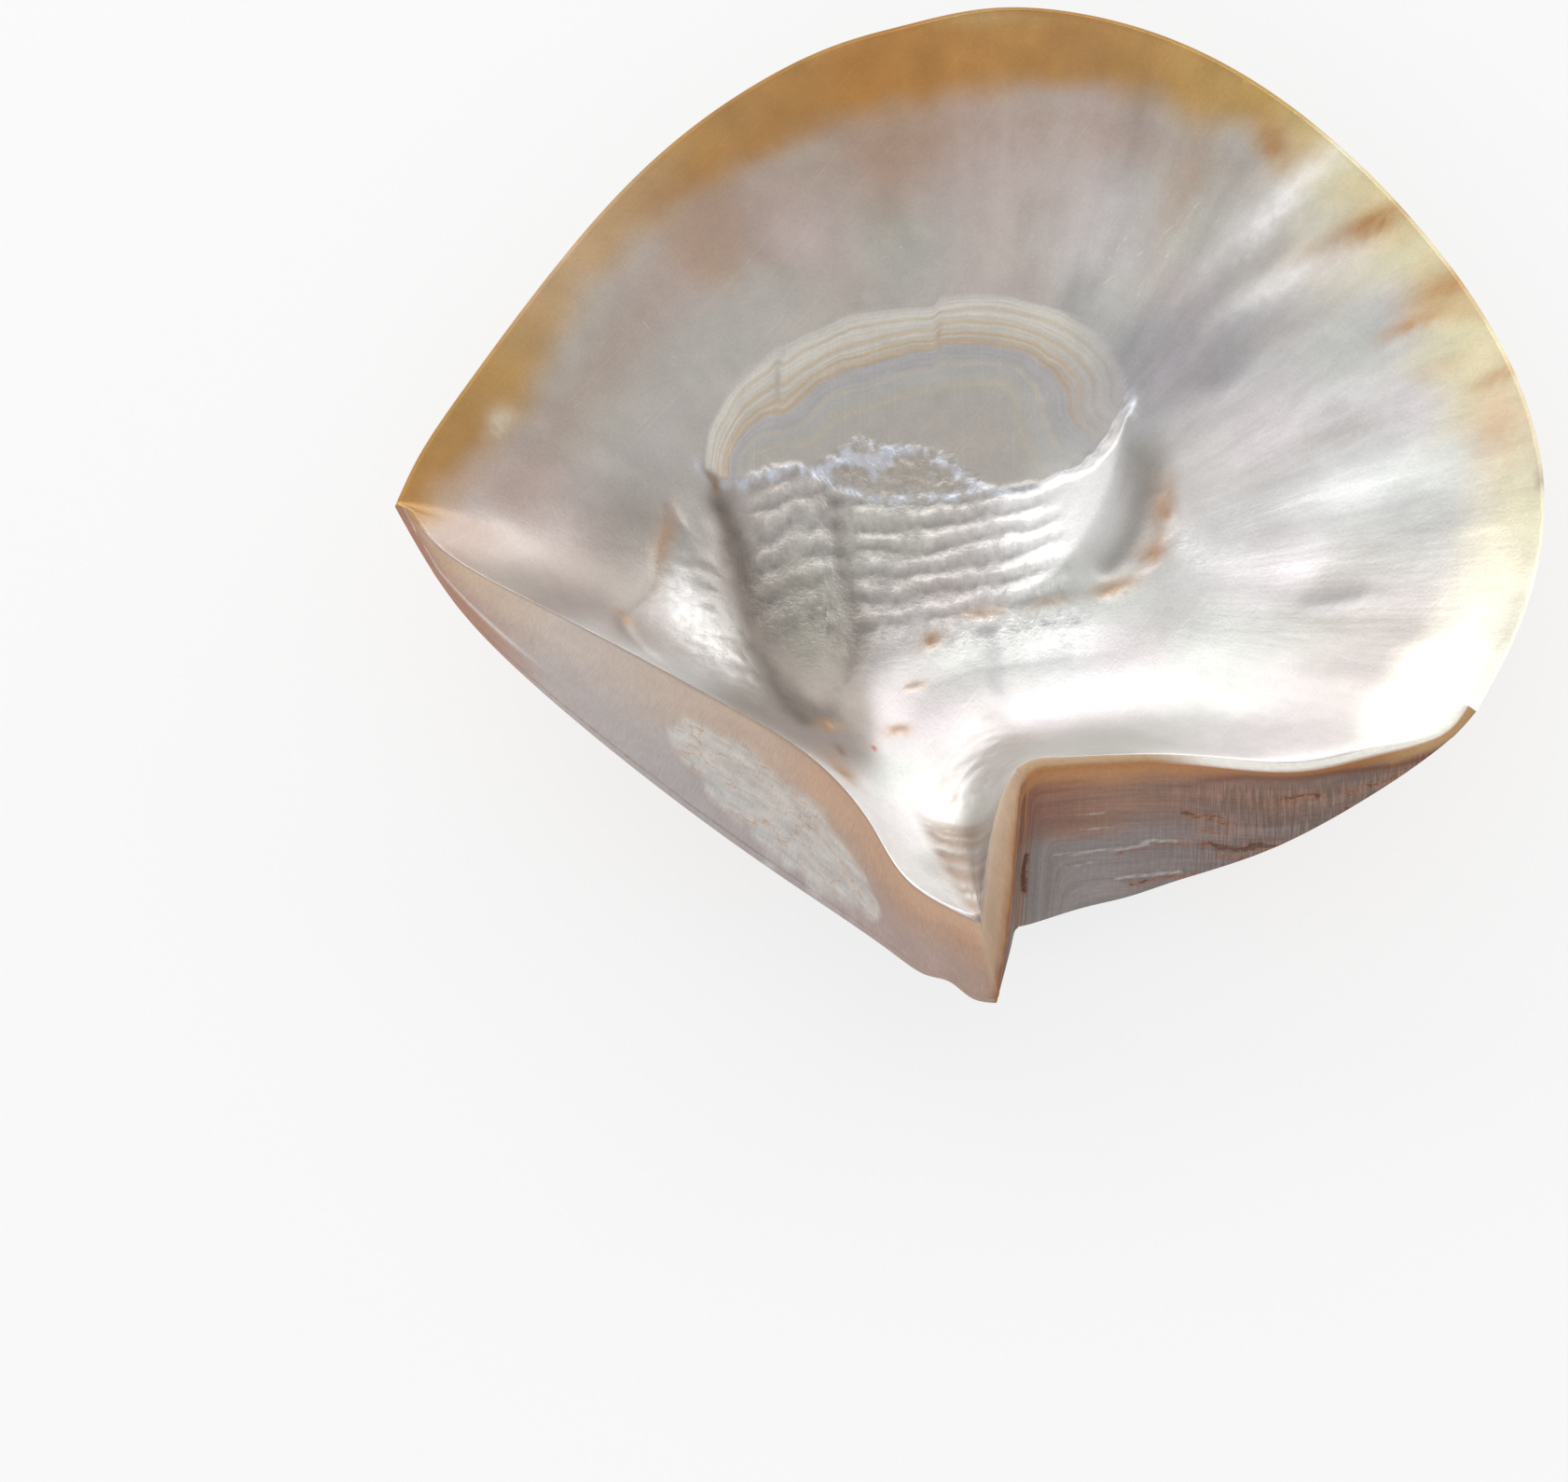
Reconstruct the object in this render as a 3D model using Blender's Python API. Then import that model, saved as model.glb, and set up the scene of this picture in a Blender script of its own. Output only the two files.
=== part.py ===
"""One valve of a gold-lip pearl oyster, cleaned and polished, lying on its outer side.

The valve is one piece of shell. Its surface is built from closed loops around the valve: out from the
deepest point of the bowl to the inner edge, over the edge to the outer edge, and back in under the
valve to the flat spot that it rests on. Lengths are in millimetres, with X towards the end of the byssal
notch, Y from the beak to the growing margin and Z up, and the mesh is written in metres.
"""
import bmesh
import bpy
import numpy as np

MM = 0.001

# Outer edge of the growing margin, from the end of the notch round to the end of the hinge.
MARGIN = [
    (67.5, -41.5, 26.6), (75.3, -26.0, 26.8), (79.7, -5.0, 27.0), (76.2, 17.0, 27.0), (66.0, 38.5, 27.0),
    (50.5, 59.0, 27.0), (30.0, 74.4, 27.0), (7.0, 79.7, 27.0), (-7.5, 76.5, 27.0), (-20.5, 71.5, 27.0),
    (-39.5, 57.2, 27.0), (-56.3, 36.0, 27.0), (-70.8, 11.5, 27.0), (-77.0, -0.5, 27.0), (-80.0, -8.6, 26.6),
]
# Hinge band, ground to a slope: its upper inner edge and its lower outer edge, down to the beak.
HINGE_INNER = [
    (-78.2, -9.3, 27.5), (-73.6, -16.3, 28.0), (-56.6, -27.2, 28.0), (-36.2, -39.7, 28.0),
    (-22.4, -49.4, 28.0), (-14.4, -59.8, 28.0), (-9.6, -68.3, 28.0), (-0.2, -74.0, 27.0),
]
HINGE_OUTER = [
    (-80.0, -8.6, 26.6), (-72.3, -20.1, 21.5), (-63.0, -29.9, 18.5), (-50.4, -41.4, 17.0),
    (-37.5, -52.2, 16.0), (-24.9, -62.3, 16.0), (-12.2, -71.9, 15.5), (-7.0, -75.7, 15.3),
    (-4.0, -76.6, 15.2), (-1.0, -79.0, 15.0), (2.2, -79.7, 15.0),
]
# Ridge between the beak and the corner of the notch: inner edge, crest of its lip, foot of its wall.
RIDGE_INNER = [(-0.2, -74.0, 27.0), (0.9, -64.2, 27.0), (3.2, -54.3, 27.0), (4.8, -49.8, 27.0)]
RIDGE_CREST = [(2.4, -78.9, 16.0), (4.0, -70.6, 22.0), (4.7, -64.0, 25.5), (5.8, -54.0, 26.5), (6.2, -50.7, 26.6)]
RIDGE_OUTER = [(2.2, -79.7, 15.0), (4.4, -70.6, 12.5), (5.3, -65.8, 10.0)]
# Byssal notch: the edge of the bowl, the crest of its lip, and the foot of the wall that falls away.
NOTCH_INNER = [
    (4.8, -49.8, 27.0), (8.0, -48.9, 26.6), (24.0, -47.9, 26.0), (33.9, -49.0, 26.5), (43.8, -49.7, 27.0),
    (54.0, -47.3, 27.0), (62.9, -44.7, 27.2), (65.8, -40.6, 27.5),
]
NOTCH_CREST = [
    (6.2, -50.7, 26.6), (9.0, -50.2, 26.2), (24.0, -49.2, 25.7), (33.9, -50.3, 26.2), (43.8, -51.0, 26.7),
    (54.0, -48.6, 26.8), (62.9, -45.6, 27.1), (66.7, -41.0, 27.4),
]
NOTCH_OUTER = [
    (5.3, -65.8, 10.0), (8.0, -64.8, 9.5), (14.3, -62.6, 9.5), (20.7, -61.2, 10.2), (27.1, -59.4, 11.3),
    (39.8, -57.0, 16.0), (52.4, -52.0, 21.0), (58.6, -48.8, 23.7), (64.5, -44.7, 25.8), (67.5, -41.5, 26.6),
]

LIP_WIDTH = 1.9  # plan width of the rounded margin
LIP_RISE = 0.9  # height of the inner edge of the margin over its outer edge
LIP_CROWN = 0.35  # how far the crest of the margin stands over both
BAND_LIP = 0.5  # thickness of the lower edge of the hinge band
BAND_SHARE = 0.93  # share of the hinge band's slope that is ground flat

DEEPEST = (-4.0, -12.0)  # plan place of the deepest point of the bowl
FLOOR = 6.3  # height of that point over the surface that the valve rests on
REST = (5.0, -7.0)  # plan centre of the flat spot underneath
REST_RADIUS = 8.0
FADE = 0.3  # how fast the outline's corners soften inward

# How the bowl rises to its edge: place along the outline, then the power of the rise from the floor and
# the power of the flattening at the edge. A place is a stretch of outline (0 margin, 1 hinge, 2 ridge,
# 3 notch) and how far along it.
BOWL_RISE = [
    (0.00, 2.4, 1.25), (0.22, 2.1, 1.35), (0.50, 2.0, 1.40), (0.80, 2.1, 1.30), (1.00, 2.2, 1.05),
    (1.50, 2.3, 1.00), (1.95, 3.0, 1.00), (2.50, 2.8, 1.00), (3.00, 2.6, 1.20), (3.50, 2.5, 1.45),
]
# The same for the outside, from the flat spot up to the outer edge.
BACK_RISE = [
    (0.00, 2.0, 1.05), (0.22, 2.0, 1.20), (0.50, 2.0, 1.25), (0.80, 2.0, 1.20), (1.00, 2.0, 1.00),
    (1.50, 2.0, 0.95), (1.95, 2.0, 0.90), (2.50, 2.0, 1.00), (3.00, 2.0, 1.05), (3.50, 2.0, 1.00),
]

AROUND = (56, 26, 12, 26)  # points round each loop, for margin, hinge, ridge and notch
BOWL_LOOPS = 16
BACK_LOOPS = 12
WALL_LOOPS = 2  # loops between the crest of the edge and the outer edge


def smooth_curve(points, count):
    """Return count evenly spaced places on a natural cubic spline, without its last point."""
    points = np.array(points)
    steps = np.linalg.norm(np.diff(points, axis=0), axis=1) ** 0.5
    knots = np.concatenate([[0.0], np.cumsum(steps)])
    bend_matrix = np.eye(len(points))
    bend_source = np.zeros_like(points)
    for i in range(1, len(points) - 1):
        bend_matrix[i, i - 1 : i + 2] = steps[i - 1], 2 * (steps[i - 1] + steps[i]), steps[i]
        rise = (points[i + 1] - points[i]) / steps[i] - (points[i] - points[i - 1]) / steps[i - 1]
        bend_source[i] = 6 * rise
    bends = np.linalg.solve(bend_matrix, bend_source)

    def place(at):
        i = np.clip(np.searchsorted(knots, at, side="right") - 1, 0, len(steps) - 1)
        step = steps[i][:, None]
        before = (knots[i + 1] - at)[:, None] / step
        after = (at - knots[i])[:, None] / step
        straight = before * points[i] + after * points[i + 1]
        curved = (before**3 - before) * bends[i] + (after**3 - after) * bends[i + 1]
        return straight + curved * step**2 / 6

    fine = np.linspace(0.0, knots[-1], 40 * len(points))
    length = np.concatenate([[0.0], np.cumsum(np.linalg.norm(np.diff(place(fine), axis=0), axis=1))])
    even = np.arange(count) / count * length[-1]
    return place(np.interp(even, length, fine))


def edge_loops():
    """Return the inner edge, the crest and the outer edge of the valve as three matched loops."""
    margin_count, hinge_count, ridge_count, notch_count = AROUND
    margin = smooth_curve(MARGIN, margin_count)
    along = np.gradient(np.vstack([margin, MARGIN[-1:]])[:, :2], axis=0)[:-1]
    inward = np.column_stack([-along[:, 1], along[:, 0]]) / np.linalg.norm(along, axis=1)[:, None]
    margin_inner = margin + np.column_stack([LIP_WIDTH * inward, np.full(margin_count, LIP_RISE)])
    margin_crest = (margin + margin_inner) / 2 + (0, 0, LIP_CROWN)

    hinge_inner = smooth_curve(HINGE_INNER, hinge_count)
    hinge_outer = smooth_curve(HINGE_OUTER, hinge_count)
    share = np.interp(np.arange(hinge_count) / hinge_count, (0, 0.1), (0.5, BAND_SHARE))[:, None]
    hinge_crest = hinge_inner + share * (hinge_outer - hinge_inner) + (0, 0, BAND_LIP)

    ridge = [smooth_curve(points, ridge_count) for points in (RIDGE_INNER, RIDGE_CREST, RIDGE_OUTER)]
    notch = [smooth_curve(points, notch_count) for points in (NOTCH_INNER, NOTCH_CREST, NOTCH_OUTER)]
    inner = np.vstack([margin_inner, hinge_inner, ridge[0], notch[0]])
    crest = np.vstack([margin_crest, hinge_crest, ridge[1], notch[1]])
    outer = np.vstack([margin, hinge_outer, ridge[2], notch[2]])
    return inner, crest, outer


def rise_powers(table):
    """Return the two powers of a rise for every point round a loop, eased between the table's rows."""
    stations = np.concatenate([stretch + np.arange(n) / n for stretch, n in enumerate(AROUND)])
    rows = np.array(table + [(4.0, *table[0][1:])])
    i = np.searchsorted(rows[:, 0], stations, side="right") - 1
    part = (stations - rows[i, 0]) / (rows[i + 1, 0] - rows[i, 0])
    eased = (part * part * (3 - 2 * part))[:, None]
    both = rows[i, 1:] * (1 - eased) + rows[i + 1, 1:] * eased
    return both[:, 0], both[:, 1]


def faded(edge_angle, edge_values, share):
    """Return values given round an edge as they are a share of the way out to it.

    The values are taken apart into waves round the centre, and a wave of k cycles fades as the share
    to the power of FADE * k, so that corners are sharp at the edge and soft further in.
    """
    order = np.argsort(edge_angle)
    circle = np.linspace(-np.pi, np.pi, 1440, endpoint=False)
    waves = np.fft.rfft(np.interp(circle, edge_angle[order], edge_values[order], period=2 * np.pi))
    waves *= share ** (FADE * np.arange(len(waves)))
    return np.interp(edge_angle, circle, np.fft.irfft(waves, len(circle)), period=2 * np.pi)


def dish(edge, centre, floor, flat, table, count):
    """Return loops from the centre of a dish out to its edge, without the edge itself."""
    spoke = edge[:, :2] - centre
    reach = np.linalg.norm(spoke, axis=1)
    angle = np.arctan2(spoke[:, 1], spoke[:, 0])
    powers = rise_powers(table)
    loops = []
    for share in np.arange(0 if flat else 1, count) / count:
        radius = flat * (1 - share) + share * faded(angle, reach, share)
        rise = faded(angle, edge[:, 2], share) - floor
        rise_power, edge_power = (faded(angle, power, share) for power in powers)
        height = floor + rise * (1 - (1 - share**rise_power) ** edge_power)
        loops.append(np.column_stack([centre + spoke * (radius / reach)[:, None], height]))
    return loops


def valve_loops():
    """Return every loop of the valve, from the bowl's deepest point round to the flat spot."""
    inner, crest, outer = edge_loops()
    loops = dish(inner, DEEPEST, FLOOR, 0.0, BOWL_RISE, BOWL_LOOPS)
    loops += [inner, crest]
    for part in np.arange(1, WALL_LOOPS + 1) / (WALL_LOOPS + 1):
        loops.append(crest + part * (outer - crest))
    loops.append(outer)
    loops += reversed(dish(outer, REST, 0.0, REST_RADIUS, BACK_RISE, BACK_LOOPS))
    return np.array(loops)


def valve_mesh():
    """Skin the loops with faces, close both ends and centre the valve over the origin."""
    loops = valve_loops()
    middle = (loops.min(axis=(0, 1)) + loops.max(axis=(0, 1))) / 2 * (1, 1, 0)
    solid = bmesh.new()
    rings = [[solid.verts.new((point - middle) * MM) for point in loop] for loop in loops]
    deepest = solid.verts.new((np.array([*DEEPEST, FLOOR]) - middle) * MM)
    around = len(rings[0])
    for i in range(around):
        j = (i + 1) % around
        solid.faces.new((deepest, rings[0][i], rings[0][j]))
        for near, far in zip(rings, rings[1:]):
            solid.faces.new((near[i], far[i], far[j], near[j]))
    solid.faces.new(rings[-1])
    bmesh.ops.recalc_face_normals(solid, faces=solid.faces)
    mesh = bpy.data.meshes.new("valve")
    solid.to_mesh(mesh)
    solid.free()
    mesh.shade_smooth()
    mesh.set_sharp_from_angle(angle=np.radians(40))
    return mesh


def nacre():
    """Return the pale polished mother-of-pearl of the bowl."""
    material = bpy.data.materials.new("nacre")
    material.use_nodes = True
    shader = material.node_tree.nodes["Principled BSDF"]
    shader.inputs["Base Color"].default_value = (0.62, 0.57, 0.54, 1.0)
    shader.inputs["Roughness"].default_value = 0.28
    shader.inputs["Metallic"].default_value = 0.0
    return material


for existing in list(bpy.data.objects):
    bpy.data.objects.remove(existing)

valve = bpy.data.objects.new("valve", valve_mesh())
valve.data.materials.append(nacre())
bpy.context.scene.collection.objects.link(valve)
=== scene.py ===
from functools import partial

import bpy
import numpy as np
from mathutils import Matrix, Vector


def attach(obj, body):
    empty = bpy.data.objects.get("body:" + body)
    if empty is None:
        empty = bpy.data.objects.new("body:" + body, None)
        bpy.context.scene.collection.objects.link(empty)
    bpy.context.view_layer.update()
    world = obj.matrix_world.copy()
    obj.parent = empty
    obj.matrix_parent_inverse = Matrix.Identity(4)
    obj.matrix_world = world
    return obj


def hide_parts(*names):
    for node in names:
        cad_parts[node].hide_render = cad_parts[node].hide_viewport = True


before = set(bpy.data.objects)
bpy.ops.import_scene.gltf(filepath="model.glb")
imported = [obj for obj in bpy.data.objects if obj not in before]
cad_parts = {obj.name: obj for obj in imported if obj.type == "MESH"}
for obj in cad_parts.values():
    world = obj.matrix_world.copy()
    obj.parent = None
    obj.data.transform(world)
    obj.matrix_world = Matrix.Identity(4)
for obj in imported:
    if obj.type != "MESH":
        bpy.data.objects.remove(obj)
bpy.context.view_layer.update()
print("frame loaded")

mm = 0.001

# All lengths below are millimetres, X towards the end of the byssal notch, Y from the beak to the
# growing margin, Z up from the surface that the valve rests on.
outline = {
    "margin": [
        (67.5, -41.5, 26.6), (75.3, -26, 26.8), (79.7, -5, 27), (76.2, 17, 27), (66, 38.5, 27),
        (50.5, 59, 27), (30, 74.4, 27), (7, 79.7, 27), (-7.5, 76.5, 27), (-20.5, 71.5, 27),
        (-39.5, 57.2, 27), (-56.3, 36, 27), (-70.8, 11.5, 27), (-77, -0.5, 27), (-80, -8.6, 26.6),
    ],
    "hingeInner": [
        (-78.2, -9.3, 27.5), (-73.6, -16.3, 28), (-56.6, -27.2, 28), (-36.2, -39.7, 28),
        (-22.4, -49.4, 28), (-14.4, -59.8, 28), (-9.6, -68.3, 28), (-0.2, -74, 27),
    ],
    "hingeOuter": [
        (-80, -8.6, 26.6), (-72.3, -20.1, 21.5), (-63, -29.9, 18.5), (-50.4, -41.4, 17),
        (-37.5, -52.2, 16), (-24.9, -62.3, 16), (-12.2, -71.9, 15.5), (-7, -75.7, 15.3),
        (-4, -76.6, 15.2), (-1, -79, 15), (2.2, -79.7, 15),
    ],
    "ridgeInner": [(-0.2, -74, 27), (0.9, -64.2, 27), (3.2, -54.3, 27), (5.2, -50.6, 27)],
    "ridgeCrest": [
        (2.4, -78.9, 16), (4, -70.6, 22), (4.7, -64, 25.5), (5.6, -55.5, 26.5), (6, -53.2, 26.5),
        (6.8, -51.9, 26.5),
    ],
    "ridgeOuter": [(2.2, -79.7, 15), (4.4, -70.6, 12.5), (5.3, -65.8, 10)],
    "notchInner": [
        (5.2, -50.6, 27), (7.2, -49.2, 26.8), (11, -48.6, 26.5), (24, -47.9, 26), (33.9, -49, 26.5),
        (43.8, -49.7, 27), (54, -47.3, 27), (62.9, -44.7, 27.2), (65.8, -40.6, 27.5),
    ],
    "notchCrest": [
        (6.8, -51.9, 26.5), (8.4, -50.7, 26.4), (11, -50.2, 26.2), (24, -49.2, 25.7), (33.9, -50.3, 26.2),
        (43.8, -51, 26.7), (54, -48.6, 26.8), (62.9, -45.6, 27.1), (66.7, -41, 27.4),
    ],
    "notchOuter": [
        (5.3, -65.8, 10), (8, -64.8, 9.5), (14.3, -62.6, 9.5), (20.7, -61.2, 10.2), (27.1, -59.4, 11.3),
        (39.8, -57, 16), (52.4, -52, 21), (58.6, -48.8, 23.7), (64.5, -44.7, 25.8), (67.5, -41.5, 26.6),
    ],
    "columns": (440, 200, 96, 240),  # points along margin, hinge, ridge and notch
    "lipWidth": 0.5,  # of the rounded margin, in plan
    "lipRise": -0.14,  # of its inner edge over its outer edge
    "lipCrown": 0.02,  # of its crest over the middle of the two
    "bandLip": 0.5,  # of the hinge's crest over the straight way between its edges
    "bandShare": 0.93,  # share of the hinge band that is ground flat
    "cornerFade": 0.3,  # how fast the outline's corners soften inward
}
bowl = {
    "centre": (-4, -12), "floor": 6.3, "flat": 0,
    # place along the edge (0 margin, 1 hinge, 2 ridge, 3 notch), then the powers of the rise
    "rise": [
        (0, 2.4, 1.25), (0.22, 2.1, 1.35), (0.5, 2, 1.4), (0.8, 2.1, 1.3), (1, 2.2, 1.05), (1.5, 2.3, 1),
        (1.95, 3, 1), (2.5, 2.8, 1), (3, 2.6, 1.2), (3.5, 2.5, 1.45),
    ],
    "reach": 1,
    "crowding": 0.2,  # how much closer the rings lie at the middle
}
back = {
    "centre": (5, -7), "floor": 0, "flat": 8,
    "rise": [
        (0, 2, 1.05), (0.22, 2, 1.2), (0.5, 2, 1.25), (0.8, 2, 1.2), (1, 2, 1), (1.5, 2, 0.95),
        (1.95, 2, 0.9), (2.5, 2, 1), (3, 2, 1.05), (3.5, 2, 1),
    ],
    "reach": 0.985,  # the net stops just short of the outer edge, and a strip closes it
    "crowding": 0,
}
edgeRows = {
    "band": 20,
    "round": 4,
    "wall": 36,
    "roundMm": 1.1,
    "steps": ((20, 36), (1, 9), (5, 2), (10, 1)),  # every how many band and wall rows each stretch keeps
}


def smoothStep(value, low, high):
    part = np.clip((value - low) / (high - low), 0, 1)
    return part * part * (3 - 2 * part)


def between(value, low, high, fall, end):
    # 0 up to low, 1 from high to fall, and 0 again from end
    return smoothStep(value, low, high) * (1 - smoothStep(value, fall, end))


def smoothCurve(points, count, end=False):
    # natural cubic through the points, knots a root of the chord apart, cut into even lengths
    points = np.array(points, float)
    steps = np.linalg.norm(np.diff(points, axis=0), axis=1) ** 0.5
    knots = np.concatenate([[0], np.cumsum(steps)])
    bendMatrix = np.eye(len(points))
    bendSource = np.zeros_like(points)
    for i in range(1, len(points) - 1):
        bendMatrix[i, i - 1 : i + 2] = steps[i - 1], 2 * (steps[i - 1] + steps[i]), steps[i]
        rise = (points[i + 1] - points[i]) / steps[i] - (points[i] - points[i - 1]) / steps[i - 1]
        bendSource[i] = 6 * rise
    bends = np.linalg.solve(bendMatrix, bendSource)

    def place(at):
        i = np.clip(np.searchsorted(knots, at, side="right") - 1, 0, len(steps) - 1)
        step = steps[i][:, None]
        before = (knots[i + 1] - at)[:, None] / step
        after = (at - knots[i])[:, None] / step
        bent = (before**3 - before) * bends[i] + (after**3 - after) * bends[i + 1]
        return before * points[i] + after * points[i + 1] + bent * step**2 / 6

    fine = np.linspace(0, knots[-1], 40 * len(points))
    length = np.concatenate([[0], np.cumsum(np.linalg.norm(np.diff(place(fine), axis=0), axis=1))])
    even = np.linspace(0, 1, count, endpoint=end) * length[-1]
    return place(np.interp(even, length, fine))


def edgeLoops(shape):
    # inner edge, crest and outer edge as matched loops; the margin's inner edge is its outer edge
    # moved inward by the lip's width
    marginCount, hingeCount, ridgeCount, notchCount = shape["columns"]
    margin = smoothCurve(shape["margin"], marginCount)
    along = np.gradient(np.vstack([margin, shape["margin"][-1:]])[:, :2], axis=0)[:-1]
    inward = np.column_stack([-along[:, 1], along[:, 0]]) / np.linalg.norm(along, axis=1)[:, None]
    marginInner = margin + np.column_stack(
        [shape["lipWidth"] * inward, np.full(marginCount, shape["lipRise"])]
    )
    marginCrest = (margin + marginInner) / 2 + (0, 0, shape["lipCrown"])
    hingeInner = smoothCurve(shape["hingeInner"], hingeCount)
    hingeOuter = smoothCurve(shape["hingeOuter"], hingeCount)
    share = np.interp(np.arange(hingeCount) / hingeCount, (0, 0.1), (0.5, shape["bandShare"]))
    hingeCrest = hingeInner + share[:, None] * (hingeOuter - hingeInner) + (0, 0, shape["bandLip"])
    ridge = [smoothCurve(shape["ridge" + name], ridgeCount) for name in ("Inner", "Crest", "Outer")]
    notch = [smoothCurve(shape["notch" + name], notchCount) for name in ("Inner", "Crest", "Outer")]
    inner = np.vstack([marginInner, hingeInner, ridge[0], notch[0]])
    crest = np.vstack([marginCrest, hingeCrest, ridge[1], notch[1]])
    outer = np.vstack([margin, hingeOuter, ridge[2], notch[2]])
    return inner, crest, outer


def risePowers(table, columns):
    # the two powers of the rise for every column, eased between the table's rows
    stations = np.concatenate([stretch + np.arange(n) / n for stretch, n in enumerate(columns)])
    rows = np.array(table + [(4, *table[0][1:])])
    i = np.searchsorted(rows[:, 0], stations, side="right") - 1
    eased = smoothStep((stations - rows[i, 0]) / (rows[i + 1, 0] - rows[i, 0]), 0, 1)[:, None]
    both = rows[i, 1:] * (1 - eased) + rows[i + 1, 1:] * eased
    return both[:, 0], both[:, 1]


def squareNet(rings):
    # A square net laid over a disc, which has no pole: a vertex's ring is the larger of its two
    # steps from the middle, and its turn is its way round that ring's square, from 0 to 1.
    steps = np.arange(-rings, rings + 1)
    i, j = (side.ravel() for side in np.meshgrid(steps, steps, indexing="ij"))
    ring = np.maximum(abs(i), abs(j))
    size = np.maximum(ring, 1)
    sides = [i == ring, j == ring, -i == ring, -j == ring]
    turns = [(1 + j / size), (3 - i / size), (5 - j / size), (7 + i / size)]
    turn = np.select(sides, turns) / 8
    index = np.arange(len(i)).reshape(len(steps), len(steps))
    corners = index[:-1, :-1], index[1:, :-1], index[1:, 1:], index[:-1, 1:]
    faces = np.column_stack([corner.ravel() for corner in corners])
    rim = np.flatnonzero(ring == rings)
    return ring, turn, faces, rim[np.argsort(turn[rim])]


def dishSurface(dish, rings, edge, columns):
    # Height over the plan for each ring: floor + rise * (1 - (1 - share**p)**q), where the edge's
    # reach, height and powers are split into waves round the centre that die out inward.
    ring, turn, faces, rim = squareNet(rings)
    spoke = edge[:, :2] - dish["centre"]
    reach = np.linalg.norm(spoke, axis=1)
    edgeAngle = np.unwrap(np.arctan2(spoke[:, 1], spoke[:, 0]))
    edgeTurn = np.arange(len(edge)) / len(edge)
    twist = edgeAngle - 2 * np.pi * edgeTurn
    middleTwist = twist.mean()
    powers = risePowers(dish["rise"], columns)
    circle = np.linspace(-np.pi, np.pi, 2880, endpoint=False)
    order = np.argsort(np.angle(np.exp(1j * edgeAngle)))
    sortedAngle = np.angle(np.exp(1j * edgeAngle))[order]
    waves = [
        np.fft.rfft(np.interp(circle, sortedAngle, value[order], period=2 * np.pi))
        for value in (reach, edge[:, 2], *powers)
    ]
    net = np.zeros((len(ring), 3))
    net[ring == 0] = (*dish["centre"], dish["floor"])
    crowding = dish["crowding"]
    for step in range(1, rings + 1):
        here = np.flatnonzero(ring == step)
        part = step / rings
        share = dish["reach"] * part * (1 - crowding + crowding * part**2)
        spread = smoothStep(part, 0.25, 1)
        bend = np.interp(turn[here], edgeTurn, twist, period=1) - middleTwist
        angle = 2 * np.pi * turn[here] + middleTwist + spread * bend
        soft = [
            np.interp(
                np.angle(np.exp(1j * angle)),
                circle,
                np.fft.irfft(wave * share ** (outline["cornerFade"] * np.arange(len(wave))), len(circle)),
                period=2 * np.pi,
            )
            for wave in waves
        ]
        radius = dish["flat"] * (1 - share) + share * soft[0]
        height = dish["floor"] + (soft[1] - dish["floor"]) * (1 - (1 - share ** soft[2]) ** soft[3])
        net[here, 0] = dish["centre"][0] + radius * np.cos(angle)
        net[here, 1] = dish["centre"][1] + radius * np.sin(angle)
        net[here, 2] = height
    return net, faces, rim, ring


def edgeSurface(inner, crest, outer, rows):
    # Each column runs straight from the inner edge towards the crest, round it on a parabola that
    # starts and ends a set length from it, and straight on to the outer edge.
    up, down = crest - inner, outer - crest
    upLength = np.linalg.norm(up, axis=1)[:, None]
    downLength = np.linalg.norm(down, axis=1)[:, None]
    cut = np.minimum(rows["roundMm"], 0.45 * np.minimum(upLength, downLength))
    before = crest - up / upLength * cut
    after = crest + down / downLength * cut
    grid = [inner + (before - inner) * part for part in np.linspace(0, 1, rows["band"] + 1)[:-1]]
    for part in np.linspace(0, 1, rows["round"] + 1):
        grid.append(before * (1 - part) ** 2 + 2 * crest * part * (1 - part) + after * part**2)
    grid += [after + (outer - after) * part for part in np.linspace(0, 1, rows["wall"] + 1)[1:]]
    return np.array(grid)


def lineDistance(x, y, points, cuts=70):
    # distance from a smooth line, positive on its left, and the share of its length at the nearest place
    line = smoothCurve(points, cuts, end=True)
    nearest = np.full(x.shape, 1e9)
    signed, share = np.zeros(x.shape), np.zeros(x.shape)
    for i, (start, step) in enumerate(zip(line[:-1], np.diff(line, axis=0))):
        part = np.clip(((x - start[0]) * step[0] + (y - start[1]) * step[1]) / (step @ step), 0, 1)
        dx, dy = x - start[0] - part * step[0], y - start[1] - part * step[1]
        away = np.hypot(dx, dy)
        closer = away < nearest
        nearest = np.where(closer, away, nearest)
        signed = np.where(closer, away * np.sign(step[0] * dy - step[1] * dx), signed)
        share = np.where(closer, (i + part) / (len(line) - 1), share)
    return signed, share


def isInside(x, y, loop):
    # a point is inside when a line to the right of it crosses the loop an odd number of times
    inside = np.zeros(x.shape, bool)
    for (ax, ay), (bx, by) in zip(loop, np.roll(loop, -1, axis=0)):
        if ay != by:
            inside ^= ((ay > y) != (by > y)) & (x < (bx - ax) * (y - ay) / (by - ay) + ax)
    return inside


def softNoise(x, y, size, seed):
    # random heights from -1 to 1 on a net of squares, joined by fifth-power steps
    net = np.random.default_rng(seed).uniform(-1, 1, (64, 64))
    u, v = x / size, y / size
    i, j = np.floor(u).astype(int), np.floor(v).astype(int)
    a, b = ((part**3) * (part * (part * 6 - 15) + 10) for part in (u - i, v - j))
    near = net[i % 64, j % 64] * (1 - a) + net[(i + 1) % 64, j % 64] * a
    far = net[i % 64, (j + 1) % 64] * (1 - a) + net[(i + 1) % 64, (j + 1) % 64] * a
    return near * (1 - b) + far * b


def bump(distance, width):
    return np.exp(-((distance / width) ** 2))


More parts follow.
